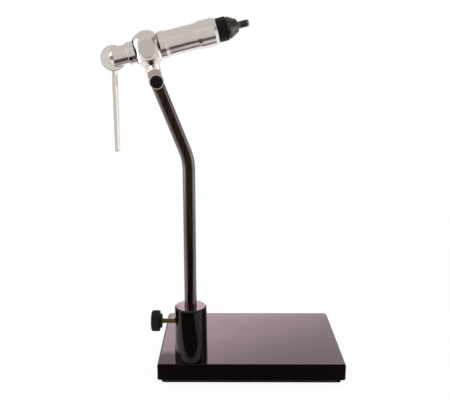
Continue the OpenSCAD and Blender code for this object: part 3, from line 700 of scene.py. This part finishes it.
def jaw_steel(name, matrix, tint, cone, end):
    """Ground steel of the jaws, which leave the cone and end at those places along X: dark between, with a painted
    highlight by the cone, palest over the last two millimetres, and fine turned lines."""
    f = Finish(name, matrix)
    # Palest over the last two millimetres of the jaws
    bare = f.ramp(f.x, end - 2.2, end - 0.4)
    # Painted highlight: paler for the first few millimetres past the cone
    painted_highlight_by_cone = f.ramp(f.x, cone + 0.6, cone + 3.2, 1, 0)
    drawn = f.streak(f.x, 6, 4, 0.7)
    return f.set(
        Base_Color=f.mix(bare, f.mix(painted_highlight_by_cone, shade(tint, 0.45), shade(tint, 1.3)), shade(tint, 2.6)),
        Metallic=1.0, Roughness=0.26 + 0.12 * drawn, Normal=f.bump(drawn, 0.003)).material


def plain_metal(name, tint, rough=0.3):
    """Bare metal of the inner parts: a fine all-over grain with slow changes of tone."""
    f = Finish(name)
    return f.set(
        Base_Color=f.mix(f.noise(0.4, 4), shade(tint, 0.8), shade(tint, 1.1)), Metallic=1.0,
        Roughness=rough + 0.15 * f.noise(3, 3), Normal=f.bump(f.noise(6, 3), 0.004)).material


def pale_nylon(name):
    """White nylon, slightly cloudy."""
    f = Finish(name)
    return f.set(
        Base_Color=f.mix(f.noise(0.8, 3), (0.78, 0.77, 0.72), (0.86, 0.85, 0.81)), Roughness=0.4,
        Subsurface_Weight=0.2, Subsurface_Radius=Vector((0.001, 0.001, 0.001)),
        Normal=f.bump(f.noise(4, 2), 0.005)).material


# Pieces

class VISE_OT_base(bpy.types.Operator):
    """Makes the black plate and the rubber pad under it"""
    bl_idname = "vise.base"
    bl_label = "Base"

    def execute(self, context):
        size = in_mm(context.scene.vise_base)
        inside, bolt, washer, washer_floor = 30, 4.2, 7.5, 6.2
        (x0, y0, z0), (x1, y1, z1) = span("base_plate", FLAT)
        plate = slab(x1 - x0, y1 - y0, size.corner, [
            (inside, z0), (0, z0), (0, z1 - size.bevel), (size.bevel, z1), (inside, z1)])
        hole = standing(shift(SOCKET.translation.x / MM, SOCKET.translation.y / MM))
        plate = carve(plate, [
            (CUT, rod(z0 - 1, z1 + 1, bolt, hole)), (CUT, rod(z0 - 1, z0 + washer_floor, washer, hole))])
        piece("plate", plate, FLAT, "base",
              plate_black("gloss black plate", size.black, size.sheen), ["base_plate"])
        (x0, y0, z0), (x1, y1, z1) = span("base_pad", FLAT)
        pad = slab(x1 - x0, y1 - y0, size.pad_corner, [(inside, z0), (0, z0), (0, z1), (inside, z1)])
        piece("pad", pad, FLAT, "base", speckled_rubber("speckled rubber", size.rubber), ["base_pad"])
        return {"FINISHED"}


class VISE_OT_socket(bpy.types.Operator):
    """Makes the round socket with its bore, and finishes the bolt and washer under it"""
    bl_idname = "vise.socket"
    bl_label = "Socket"

    def execute(self, context):
        size, paint = in_mm(context.scene.vise_socket), in_mm(context.scene.vise_base)
        bolt, bolt_depth, tip_hole, tip_stop = 4, 7, 2.5, 12.35
        points = local_points("post_socket", SOCKET)
        foot, rise, bottom = points[:, 2].min(), points[:, 2].max(), points[:, 0].max()
        upper = points[points[:, 2] > rise - 3]
        top, bore, floor = np.hypot(upper[:, 0], upper[:, 1]).max(), size.bore / 2, foot + size.floor
        outline = [
            (foot + bolt_depth, 0), (foot + bolt_depth, bolt), (foot, bolt), (foot, bottom), (rise - size.bevel, top),
            (rise, top - size.bevel), (rise, bore), (floor, bore), (floor, 0)]
        body = turned(outline, 128, [0, 0.2, 0.2, 0.3, 0.25, 0.25, 0.35, 0.3, 0])
        across = LAID @ shift(0, 0, within(SOCKET, THUMB).z) @ Matrix.Rotation(math.pi, 4, "Z")
        body = carve(body, [
            (CUT, rod(0, FAR, SCREW_HOLE, across)), (CUT, rod(tip_stop, FAR, tip_hole, across, 48))])
        # The socket takes the plate's finish with its painted reflections, on a brighter sheen
        black = plate_black("gloss black socket", paint.black, shade(paint.sheen, 1.9), 0.34, 0.07)
        piece("socket", body, standing(SOCKET), "socket", black, ["post_socket"])
        dress("socket_bolt", black_steel("black bolt", SOCKET, (0.03, 0.03, 0.03)))
        dress("socket_washer", plain_metal("spring washer steel", (0.55, 0.55, 0.56)))
        return {"FINISHED"}


class VISE_OT_clamp(bpy.types.Operator):
    """Makes the clamp screw with its thread and the fluted knob, and finishes the brass tip"""
    bl_idname = "vise.clamp"
    bl_label = "Clamp screw"

    def execute(self, context):
        size = in_mm(context.scene.vise_socket)
        clear, depth, chamfer = 0.02, 0.3, 0.35
        start, stop, radius = extent("clamp_screw", THUMB)
        start = start + clear

        def thread(angle, along, r):
            """Round-topped thread: the radius dips by depth each time along / pitch less the turn passes a whole
            number, and fades to plain at both ends."""
            wave = np.abs(((along / size.pitch - angle / TURN) % 1) * 2 - 1)
            dip = depth * between(along, start, stop, 0.4, 0.6) * np.clip(wave * 1.3 - 0.1, 0, 1)
            return r - dip * (r > radius * 0.9)

        run = np.arange(start + chamfer, stop - chamfer, size.pitch / 10)
        outline = [(start, radius - chamfer), *[(s, radius) for s in run], (stop, radius - chamfer)]
        piece("clamp_thread", skin(spun(outline, 48, thread)), THUMB, "clamp_screw",
              yellow_zinc("yellow zinc", THUMB, size.zinc), ["clamp_screw"])
        boss, boss_run, flute = 5.5, 1.6, 0.55
        inner, outer, rim = extent("clamp_knob", THUMB)
        wall = inner + boss_run

        def flutes(angle, along, r):
            """Finger flutes: the rim dips by a rounded cosine, deepest at the wall and gone towards the faces'
            middles and on the boss."""
            wave = (0.5 + 0.5 * np.cos(size.flutes * angle)) ** 1.5
            return r - flute * wave * np.clip((r - rim + 1.6) / 1.4, 0, 1) * (along > wall - 0.01)

        outline = soften([
            (inner, 0), (inner, boss), (wall, boss), (wall, rim - 0.7), (wall + 0.5, rim), (outer - 0.9, rim),
            (outer, rim - 1.1), (outer, 0)], [0, 0.3, 0.2, 0.2, 0.3, 0.5, 0.5, 0])[1:-1]
        dished = np.linspace(outline[-1], (outer - 0.25, 1.2), 8)
        knob = skin(spun(np.concatenate([outline[:-1], dished]), size.flutes * 12, flutes))
        piece("clamp_knob_fluted", knob, THUMB, "clamp_screw",
              matte_black("matte black knob", THUMB, size.knob), ["clamp_knob"])
        dress("clamp_tip", plain_metal("brass tip", (0.72, 0.56, 0.27)))
        return {"FINISHED"}


class VISE_OT_post(bpy.types.Operator):
    """Makes the bent post with its cut shoulder, and the pivot screw in it"""
    bl_idname = "vise.post"
    bl_label = "Post"

    def execute(self, context):
        size = in_mm(context.scene.vise_post)
        lean, shoulder, screw_hole, shank = size.lean, 5.9, 3.2, 3.175
        (_, _, foot), (radius, _, _) = span("post", POST)
        pivot = within(POST, NECK)
        tangent = size.bend * math.tan(lean / 2)
        corner = pivot.z + pivot.x / math.tan(lean)
        arm = math.hypot(pivot.x, pivot.z - corner)
        # The path: up to the bend, round it, up the arm, then the ball end drawn as shrinking rings
        turn = np.linspace(0, lean, 25)
        ball = np.linspace(0, math.pi / 2, 14)[:-1]
        past = arm + radius * np.sin(ball)
        x = np.concatenate([np.zeros(4), size.bend * (np.cos(turn) - 1), -math.sin(lean) * past])
        z = np.concatenate([foot + np.array([0, 0.15, 0.5, 0.6]), corner - tangent + size.bend * np.sin(turn),
                            corner + math.cos(lean) * past])
        r = np.concatenate([radius - np.array([0.5, 0.15, 0, 0]), np.full(25, radius), radius * np.cos(ball)])
        heading = np.concatenate([np.zeros(4), turn, np.full(len(ball), lean)])
        angle = np.arange(96)[None, :] * TURN / 96
        out = r[:, None] * np.sin(angle)
        rings = np.stack([x[:, None] + out * np.cos(heading)[:, None], r[:, None] * -np.cos(angle),
                          z[:, None] + out * np.sin(heading)[:, None]], -1)
        front = facing(Matrix.Translation(pivot) @ (POST.inverted() @ NECK).to_3x3().to_4x4())
        body = carve(skin(rings), [
            (CUT, rod(-0.25, radius + 2, shoulder, front)), (CUT, rod(-FAR, FAR, screw_hole, front, 64))])
        piece("post_bent", body, POST, "post",
              polished_black("polished black post", POST, size.black, size.line), ["post"], 0.2)
        start, stop, head = extent("pivot_screw", facing(NECK))
        seat, key = in_mm(context.scene.vise_head).ear + 0.05, size.key / 2
        outline = soften([(start, 0), (start, shank), (seat, shank), (seat, head), (stop, head), (stop, key + 0.35)],
                         [0, 0.3, 0.1, 0.25, 0.6, 0])[1:]
        recess = [(stop - 0.12, key), (stop - 0.3, key), (stop - 3.1, key), (stop - 3.1, key * 0.98)]
        screw = skin(spun(np.concatenate([outline, recess]), 96, key_recess(size.key, seat + 1)))
        piece("pivot_screw_key", screw, facing(NECK), "post",
              black_steel("black pivot screw", NECK, (0.009, 0.005, 0.0048), 0.5, 0.3, 0.01, 0.25), ["pivot_screw"])
        dress("pivot_washer", black_steel("black pivot washer", NECK, (0.02, 0.02, 0.02)))
        return {"FINISHED"}


class VISE_OT_head(bpy.types.Operator):
    """Makes the round head block with its neck and ear, and finishes the bushing in it"""
    bl_idname = "vise.head"
    bl_label = "Head block"

    def execute(self, context):
        size = in_mm(context.scene.vise_head)
        step, slot_left, slot_up, bushing, screw_hole, post_depth = 0.4, 1.2, 0.2, 5.3, 3.235, 11.2
        low, high = span("head_block", HEAD)
        pivot = within(HEAD, NECK)
        half, wide = high[0], high[1]
        bottom, dome, neck = -9.0, high[2] - wide, pivot.z - low[2]
        turn = np.linspace(0, math.pi / 2, 34)[1:-1]
        cove = neck + size.cove * (1 - np.cos(turn))
        shoulder = [(bottom - 0.01, wide - 1), (bottom, wide - 1), (bottom + 1, wide), (dome, wide)]
        outline = np.concatenate([
            [(pivot.z, neck - 0.05), (pivot.z + 0.05, neck)],
            np.stack([bottom - size.cove * (1 - np.sin(turn)), cove], -1)[cove < wide - 1],
            soften(shoulder, [0, 0, 0.3, 0])[1:],
            np.stack([dome + wide * np.sin(turn), wide * np.cos(turn)], -1)])
        front = facing(FLAT)
        at_pivot = Matrix.Translation(pivot) @ front
        slot_low = pivot.z + size.seat + slot_up
        body = carve(transformed(skin(spun(outline, 192)), UPRIGHT), [
            (COMMON, box((-half, -2 * FAR, -2 * FAR), (half, 2 * FAR, 2 * FAR))),
            (CUT, rod(size.ear - step, FAR, size.seat, at_pivot, 160)),
            (JOIN, rod(0, size.ear, neck - 0.15, at_pivot)),
            (CUT, rod(-post_depth, 0.25, neck + 0.3, at_pivot)),
            (CUT, rod(-FAR, FAR, screw_hole, at_pivot, 64)),
            (CUT, box((-size.slot / 2 - slot_left, -FAR, slot_low),
                      (size.slot / 2 - slot_left, FAR, slot_low + size.slot_rise))),
            (CUT, rod(-FAR, FAR, bushing, FLAT, 64)),
            (CUT, rod(0, FAR, SCREW_HOLE, front)),
        ])

        def seat_face(f):
            """1 on the flat milled round the ear's end, from its depth and its distance from the pivot."""
            return f.y.near(step - size.ear, 0.12) * f.ramp(
                f.distance(f.x - pivot.x, f.z - pivot.z), size.seat - 0.1, size.seat + 0.1, 1, 0)

        silver = satin_silver("satin silver block", HEAD, size.silver, 2, 0.15, seat_face)
        piece("block", body, HEAD, "head", silver, ["head_block"], 0.25)
        dress("spindle_bushing", plain_metal("bronze bushing", (0.62, 0.45, 0.24)))
        return {"FINISHED"}


class VISE_OT_tension(bpy.types.Operator):
    """Makes the faced tension knob, and finishes its stud and nylon plug"""
    bl_idname = "vise.tension"
    bl_label = "Tension knob"

    def execute(self, context):
        out, stud, recess = facing(HEAD), 2, 2
        start, stop, rim = extent("tension_knob", out)
        rim = rim - 0.02
        knob = turned([
            (start + recess, 0), (start + recess, stud), (start, stud), (start, rim), (stop, rim), (stop, 0)],
            128, [0, 0, 0.1, 0.35, 0.55, 0])
        piece("tension_knob_faced", knob, out, "tension_screw",
              brushed_disc("brushed tension knob", out, in_mm(context.scene.vise_head).disc), ["tension_knob"])
        dress("tension_stud", plain_metal("stud steel", (0.55, 0.55, 0.55)))
        dress("brake_plug", pale_nylon("pale nylon"))
        return {"FINISHED"}


class VISE_OT_washers(bpy.types.Operator):
    """Makes the two thin black washers either side of the block"""
    bl_idname = "vise.washers"
    bl_label = "Washers"

    def execute(self, context):
        black = black_steel("black washers", HEAD, (0.03, 0.025, 0.022), 0.4, 0.4)
        for node, name in (("rear_washer", "washer_rear"), ("front_washer", "washer_front")):
            start, stop, rim = extent(node, HEAD)
            ring = turned([(stop, SPINDLE_HOLE), (start, SPINDLE_HOLE), (start, rim), (stop, rim)], 128, 0.12, True)
            piece(name, ring, HEAD, "barrel", black, [node])
        return {"FINISHED"}


class VISE_OT_barrel(bpy.types.Operator):
    """Makes the turned barrel and finishes the spindle, rod and spring inside it"""
    bl_idname = "vise.barrel"
    bl_label = "Barrel"

    def execute(self, context):
        size = in_mm(context.scene.vise_barrel)
        start, stop, rim = extent("barrel", HEAD)
        collar, waist = 9.75, size.waist_across / 2
        middle, spindle_end, chamber_end = start + size.collar + size.rear_taper, start + 7, start + 9
        cone_end, cone_hole, chamber = stop - 8.5, 6.8, 6.2
        outline = [
            (start, SPINDLE_HOLE), (start, collar), (start + size.collar, collar), (middle, waist),
            (middle + size.waist, waist), (middle + size.waist + size.front_taper, rim),
            (stop - size.rim_run, rim), (stop, rim - size.rim), (stop, cone_hole), (cone_end, cone_hole),
            (cone_end, chamber), (chamber_end, chamber), (chamber_end, ROD_HOLE), (spindle_end, ROD_HOLE),
            (spindle_end, SPINDLE_HOLE)]
        soft = [0.1, 0.4, 0.2, 0.2, 0.2, 0.25, 0.25, 0.25, 0.2, 0, 0, 0, 0, 0, 0]
        silver = satin_silver("satin silver barrel", HEAD, in_mm(context.scene.vise_head).silver, 0)
        piece("barrel_turned", turned(outline, 160, soft, True), HEAD, "barrel", silver,
              ["barrel"])
        steel = plain_metal("inner steel", (0.56, 0.55, 0.54))
        for node in ("spindle", "return_spring", "push_rod"):
            dress(node, steel)
        return {"FINISHED"}


class VISE_OT_nose(bpy.types.Operator):
    """Makes the turning nose ring, the cone and the slit collet jaws"""
    bl_idname = "vise.nose"
    bl_label = "Nose"

    def execute(self, context):
        size = in_mm(context.scene.vise_nose)
        start, stop, rim = extent("nose_ring", HEAD)
        teeth, tooth, plain, ring_hole = 90, 0.06, 0.8, 6.9

        def knurl(angle, along, r):
            """Straight knurl: fine rounded teeth round the middle of the ring's wall."""
            wall = between(along, start, stop, 0.9, 0.3)
            return r - tooth * wall * (r > rim - 0.3) * (0.5 + 0.5 * np.cos(teeth * angle))

        outline = np.concatenate([
            soften([(start, ring_hole), (start, rim), (start + plain, rim)], 0.45)[:-1],
            [(s, rim) for s in np.linspace(start + plain, stop - plain, 22)],
            soften([(stop - plain, rim), (stop, rim), (stop, ring_hole)], 0.45)[1:],
            [(stop - 0.1, ring_hole - 0.04), (start + 0.1, ring_hole - 0.04)]])
        black = black_steel("matte black ring", HEAD, size.black, 0.2, 0.24, 0.004, 0.15)
        piece("ring_knurled", skin(spun(outline, teeth * 6, knurl), True), HEAD, "nose_ring", black,
              ["nose_ring"])
        back, front, _ = extent("nose_cone", HEAD)
        jaw_start, jaw_end, _ = extent("collet_jaws", HEAD)
        wide, spigot, seat, cone_start = size.cone_back / 2, 6.8, stop + 0.05, stop + size.groove
        # The jaws' shank, flange and tip, the taper that shuts them, and the cone's room round them
        shank, flange, flange_run, tip, taper, mouth, room = 4.0, 6.14, 3, 2.5, 5, front - 2, 0.15
        outline = [
            (back, 4.06), (back, spigot), (seat, spigot), (seat, wide - 0.5), (cone_start, wide - 0.5),
            (cone_start + 0.5, wide), (front, size.cone_front / 2), (front, tip + room),
            (mouth + room, tip + room), (mouth + room - taper, 4.06)]
        soft = [0.1, 0.1, 0, 0.1, 0.1, 0.3, 0.3, 0.1, 0, 0]
        black = black_steel("polished black cone", HEAD, size.cone, 0.95, 0.18, 0.003, 0.2)
        piece("cone", turned(outline, 128, soft, True), HEAD, "barrel", black, ["nose_cone"])
        jaws = turned([
            (jaw_start, 0), (jaw_start, flange), (jaw_start + flange_run, flange), (jaw_start + flange_run, shank),
            (mouth - taper, shank), (mouth, tip), (jaw_end - 0.9, tip), (jaw_end, tip - 0.75), (jaw_end, 0)], 96,
            [0, 0.2, 0.2, 0.1, 0.3, 0.3, 0.8, 0.4, 0], steps=6)
        slit = size.slit / 2
        jaws = carve(jaws, [
            (CUT, rod(jaw_start - 0.5, jaw_start + 2, 1.6, FLAT, 48)),
            (CUT, rod(jaw_end - 5, jaw_end + 0.5, size.hole / 2, FLAT, 48)),
            (CUT, box((jaw_end - 26, -slit, -9), (jaw_end + 0.5, slit, 9)))])
        piece("jaws_slit", jaws, HEAD, "jaws",
              jaw_steel("jaw steel", HEAD, size.jaw, front, jaw_end), ["collet_jaws"], 0.08)
        return {"FINISHED"}


class VISE_OT_tail(bpy.types.Operator):
    """Makes the forked tail with its set screw and cam pin"""
    bl_idname = "vise.tail"
    bl_label = "Tail"

    def execute(self, context):
        size = in_mm(context.scene.vise_tail)
        (end, _, _), (_, collar, _) = span("tail_block", HEAD)
        front = extent("rear_washer", HEAD)[0]
        fork_end = extent("cam_disc", HEAD)[1] + 0.5
        bar, fork, screw, pin = size.bar / 2, size.fork / 2, size.screw / 2, within(HEAD, PIN).x
        collar_run, wall, key = 5.4, 5, 0.75
        step, ball = front - collar_run, end + size.ball
        round_end = np.linspace(math.pi / 2, math.acos(bar / size.ball), 26)[1:]
        outline = np.concatenate([
            np.stack([ball - size.ball * np.sin(round_end), size.ball * np.cos(round_end)], -1),
            soften([(ball, bar), (step, bar), (step, collar), (front, collar), (front, 0)],
                   [0, 0.15, 0.45, 0.2, 0])[1:-1]])
        out = shift(step + screw + 0.15) @ Matrix.Rotation(math.radians(30), 4, "X") @ facing(FLAT)
        body = carve(skin(spun(outline, 160)), [
            (CUT, rod(end + wall, front + 1, SPINDLE_HOLE, FLAT, 64)),
            (CUT, box((end - 1, -fork, -FAR), (fork_end, fork, FAR))),
            (CUT, rod(-FAR, FAR, size.pin / 2, shift(pin) @ facing(FLAT), 64)),
            (CUT, rod(0, FAR, screw, out, 64))])
        silver = satin_silver("satin silver tail", HEAD, in_mm(context.scene.vise_head).silver, 0)
        piece("tail_forked", body, HEAD, "barrel", silver, ["tail_block"], 0.15)
        out = HEAD @ metre(out)
        start, stop, _ = extent("tail_set_screw", out)
        outline = np.concatenate([
            soften([(start, 0), (start, screw), (stop, screw), (stop, key + 0.15)], [0, 0.2, 0.25, 0])[1:],
            [(stop - 0.06, key), (stop - 1.4, key), (stop - 1.4, key * 0.97)]])
        piece("set_screw", skin(spun(outline, 72, key_recess(key * 2, start + 1))), out, "barrel",
              black_steel("dark set screw", HEAD, (0.10, 0.085, 0.07), 0.9), ["tail_set_screw"])
        out = facing(HEAD @ metre(shift(pin)))
        start, stop, radius = extent("cam_pin", out)
        bar = turned([(start, 0), (start, radius), (stop, radius), (stop, 0)], 64, 0.3)
        piece("pin", bar, out, "barrel", plain_metal("pin steel", (0.46, 0.42, 0.38), 0.24),
              ["cam_pin"])
        return {"FINISHED"}


class VISE_OT_cam(bpy.types.Operator):
    """Makes the eccentric cam disc and the polished lever under it"""
    bl_idname = "vise.cam"
    bl_label = "Cam and lever"

    def execute(self, context):
        size = in_mm(context.scene.vise_tail)
        low, high = span("cam_disc", HEAD)
        rim, half = (high[0] - low[0]) / 2, high[1]
        cx, cz = (high[0] + low[0]) / 2, (high[2] + low[2]) / 2
        middle, pin = shift(cx, 0, cz), within(HEAD, PIN)
        disc = turned([(-half, 0), (-half, rim), (half, rim), (half, 0)], 160, [0, 0.45, 0.45, 0])
        disc = carve(transformed(disc, middle @ facing(FLAT)), [
            (CUT, rod(-FAR, FAR, ROD_HOLE, shift(pin.x, 0, pin.z) @ facing(FLAT), 64))])
        piece("cam_disc_faced", disc, HEAD, "cam",
              brushed_disc("brushed cam disc", facing(HEAD @ metre(middle)), size.face, 0.3, rim), ["cam_disc"])
        hang, end, under = standing(PIN), 2.65, 0.5 - rim
        low, high = span("cam_lever", PIN)
        back, reach = (high[0] + low[0]) / 2, low[2]
        top = high[0] - back
        lever = turned([(reach, 0), (reach, end), (under, top), (under, 0)], 96, [0, 1.2, 0, 0], steps=8)
        at = PIN.inverted() @ (HEAD @ metre(middle)).translation / MM
        cut = rod(-FAR, FAR, rim, LAID @ shift(at.x, 0, at.z) @ facing(FLAT), 192)
        lever = carve(transformed(lever, shift(0, 0, back)), [(CUT, cut)])
        piece("lever", lever, hang, "cam", polished_steel("polished lever", hang, size.steel),
              ["cam_lever"], 0.12)
        return {"FINISHED"}


# Stage

def light(name, where, towards, w, h, power, mirrored=False):
    """A soft rectangular lamp at a place, turned towards another. The camera never sees it, and gloss shows it only
    where mirrored is set."""
    lamp = bpy.data.lights.new(name, "AREA")
    lamp.shape, lamp.size, lamp.size_y, lamp.energy = "RECTANGLE", w, h, power
    made = bpy.data.objects.new(name, lamp)
    bpy.context.scene.collection.objects.link(made)
    made.location = where
    made.rotation_euler = (Vector(towards) - Vector(where)).to_track_quat("-Z", "Y").to_euler()
    made.visible_camera, made.visible_glossy = False, mirrored


def flat(name, low, high, z, finish):
    """A level sheet of the stage, from its low corner to its high one."""
    (x0, y0), (x1, y1) = low, high
    mesh = bpy.data.meshes.new(name)
    mesh.from_pydata([(x0, y0, z), (x1, y0, z), (x1, y1, z), (x0, y1, z)], [], [(0, 1, 2, 3)])
    mesh.materials.append(finish)
    made = bpy.data.objects.new(name, mesh)
    bpy.context.scene.collection.objects.link(made)
    return made


def rays(shop):
    """Two masks: 1 for a ray of the camera or one through glass, and 1 for a ray mirrored in a glossy surface."""
    camera, glass, mirrored = (shop.node("ShaderNodeLightPath", {}, {}, "Is %s Ray" % kind)
                               for kind in ("Camera", "Transmission", "Glossy"))
    return camera + glass, mirrored


class VISE_OT_stage(bpy.types.Operator):
    """Makes the camera, the pale floor, the studio lamps and the white surroundings"""
    bl_idname = "vise.stage"
    bl_label = "Stage"

    def execute(self, context):
        scene = context.scene
        lens = bpy.data.cameras.new("camera")
        lens.lens, lens.sensor_width = 50, 36
        camera = bpy.data.objects.new("camera", lens)
        scene.collection.objects.link(camera)
        camera.location = (-0.01894, -0.49244, 0.24728)
        camera.rotation_euler = (math.radians(90 - 12.83), 0, math.radians(0.212))
        scene.camera = camera

        # The floor keeps the shadow near the vise and is white further off; gloss sees it dimmer to the front
        f = Finish("pale floor")
        f.set(Base_Color=(0.97, 0.97, 0.97), Roughness=0.7, Specular_IOR_Level=0.0)
        seen, mirrored = rays(f)
        away = f.distance(f.x, f.y)
        near_side = f.ramp(f.y / away, -0.95, -0.5, 0.34, 0)
        glow = f.node("ShaderNodeEmission", {}, {0: (1, 1, 1, 1), 1: 1 - mirrored * near_side})
        blend = f.node("ShaderNodeMixShader", {}, {
            0: seen * f.ramp(away, 300, 900, 0.9, 1) + mirrored, 1: Value(f, f.shader.outputs[0]), 2: glow})
        f.tree.links.new(blend.socket, f.tree.nodes["Material Output"].inputs[0])
        flat("floor", (-3, -3), (3, 3), 0, f.material)

        # Dark cards in front of the vise, which only gloss sees
        f = Finish("dark card")
        f.set(Base_Color=(0.0, 0.0, 0.0), Roughness=1.0, Specular_IOR_Level=0.0,
              Emission_Color=(1.0, 0.93, 0.88), Emission_Strength=0.07)
        for number, (low, high) in enumerate((
                ((-0.20, -0.42), (0.24, -0.19)), ((-0.20, -0.19), (0.02, -0.09)))):
            card = flat("dark_card_%d" % number, low, high, 0.0005, f.material)
            card.visible_camera = card.visible_diffuse = card.visible_shadow = card.visible_transmission = False

        light("top lamp", (0, -0.1, 1.3), (0, 0, 0.1), 1.4, 1.2, 7)
        light("left lamp", (-1.2, -0.5, 0.75), (0, 0, 0.15), 0.7, 0.9, 3)
        light("right lamp", (1.3, -0.4, 0.7), (0, 0, 0.15), 0.7, 0.9, 2)
        light("left panel", (-0.62, -0.1, 0.32), (-0.05, -0.04, 0.2), 0.34, 0.64, 0.72, True)
        light("right panel", (0.45, -0.06, 0.3), (-0.05, -0.04, 0.2), 0.16, 0.6, 0.34, True)

        # White where the camera sees it, plain on the object, and dimmed in mirrors above, in front and at the sides
        world = bpy.data.worlds.new("studio")
        world.use_nodes = True
        scene.world = world
        w = Shop(world.node_tree)
        way = w.node("ShaderNodeTexCoord", {}, {}, "Generated")
        sideways, forward, upward = (w.node("ShaderNodeSeparateXYZ", {}, {0: way}, k) for k in "XYZ")
        dim = w.ramp(-1 * forward, 0.5, 0.95).over(w.ramp(upward, 0.35, 0.75))
        left_side = w.ramp(-1 * sideways, 0.45, 0.77) * w.ramp(upward, 0.04, 0.3)
        right_side = w.ramp(sideways, 0.35, 0.7) * w.ramp(upward, 0.14, 0.36)
        shown, mirrored = rays(w)
        dimmed = 1 - (0.34 * dim).over(0.5 * left_side).over(0.8 * right_side)
        level = shown + mirrored * dimmed + (1 - shown - mirrored) * 0.55
        back = world.node_tree.nodes["Background"]
        back.inputs[0].default_value = (1, 1, 1, 1)
        w.tree.links.new(level.socket, back.inputs[1])

        scene.view_settings.view_transform = "Standard"
        return {"FINISHED"}


class VISE_PT_panel(bpy.types.Panel):
    """Lists the vise's pieces and their sizes"""
    bl_idname = "VISE_PT_panel"
    bl_label = "Fly tying vise"
    bl_space_type = "VIEW_3D"
    bl_region_type = "UI"
    bl_category = "Vise"

    def draw(self, context):
        for operator in OPERATORS:
            self.layout.operator(operator.bl_idname)
        for key in GROUPS:
            group = getattr(context.scene, key)
            for name in group.bl_rna.properties.keys():
                if name not in ("rna_type", "name"):
                    self.layout.prop(group, name)


GROUPS = {"vise_base": ViseBase, "vise_socket": ViseSocket, "vise_post": VisePost, "vise_head": ViseHead,
          "vise_barrel": ViseBarrel, "vise_nose": ViseNose, "vise_tail": ViseTail}
OPERATORS = (VISE_OT_stage, VISE_OT_base, VISE_OT_socket, VISE_OT_clamp, VISE_OT_post, VISE_OT_head,
             VISE_OT_tension, VISE_OT_washers, VISE_OT_barrel, VISE_OT_nose, VISE_OT_tail, VISE_OT_cam)


def register():
    for made in (*GROUPS.values(), *OPERATORS, VISE_PT_panel):
        bpy.utils.register_class(made)
    for key, group in GROUPS.items():
        setattr(bpy.types.Scene, key, PointerProperty(type=group))


def unregister():
    for key in GROUPS:
        delattr(bpy.types.Scene, key)
    for made in (VISE_PT_panel, *OPERATORS, *GROUPS.values()):
        bpy.utils.unregister_class(made)


def main():
    register()
    for operator in OPERATORS:
        getattr(bpy.ops.vise, operator.bl_idname.split(".")[1])()


if __name__ == "__main__":
    main()
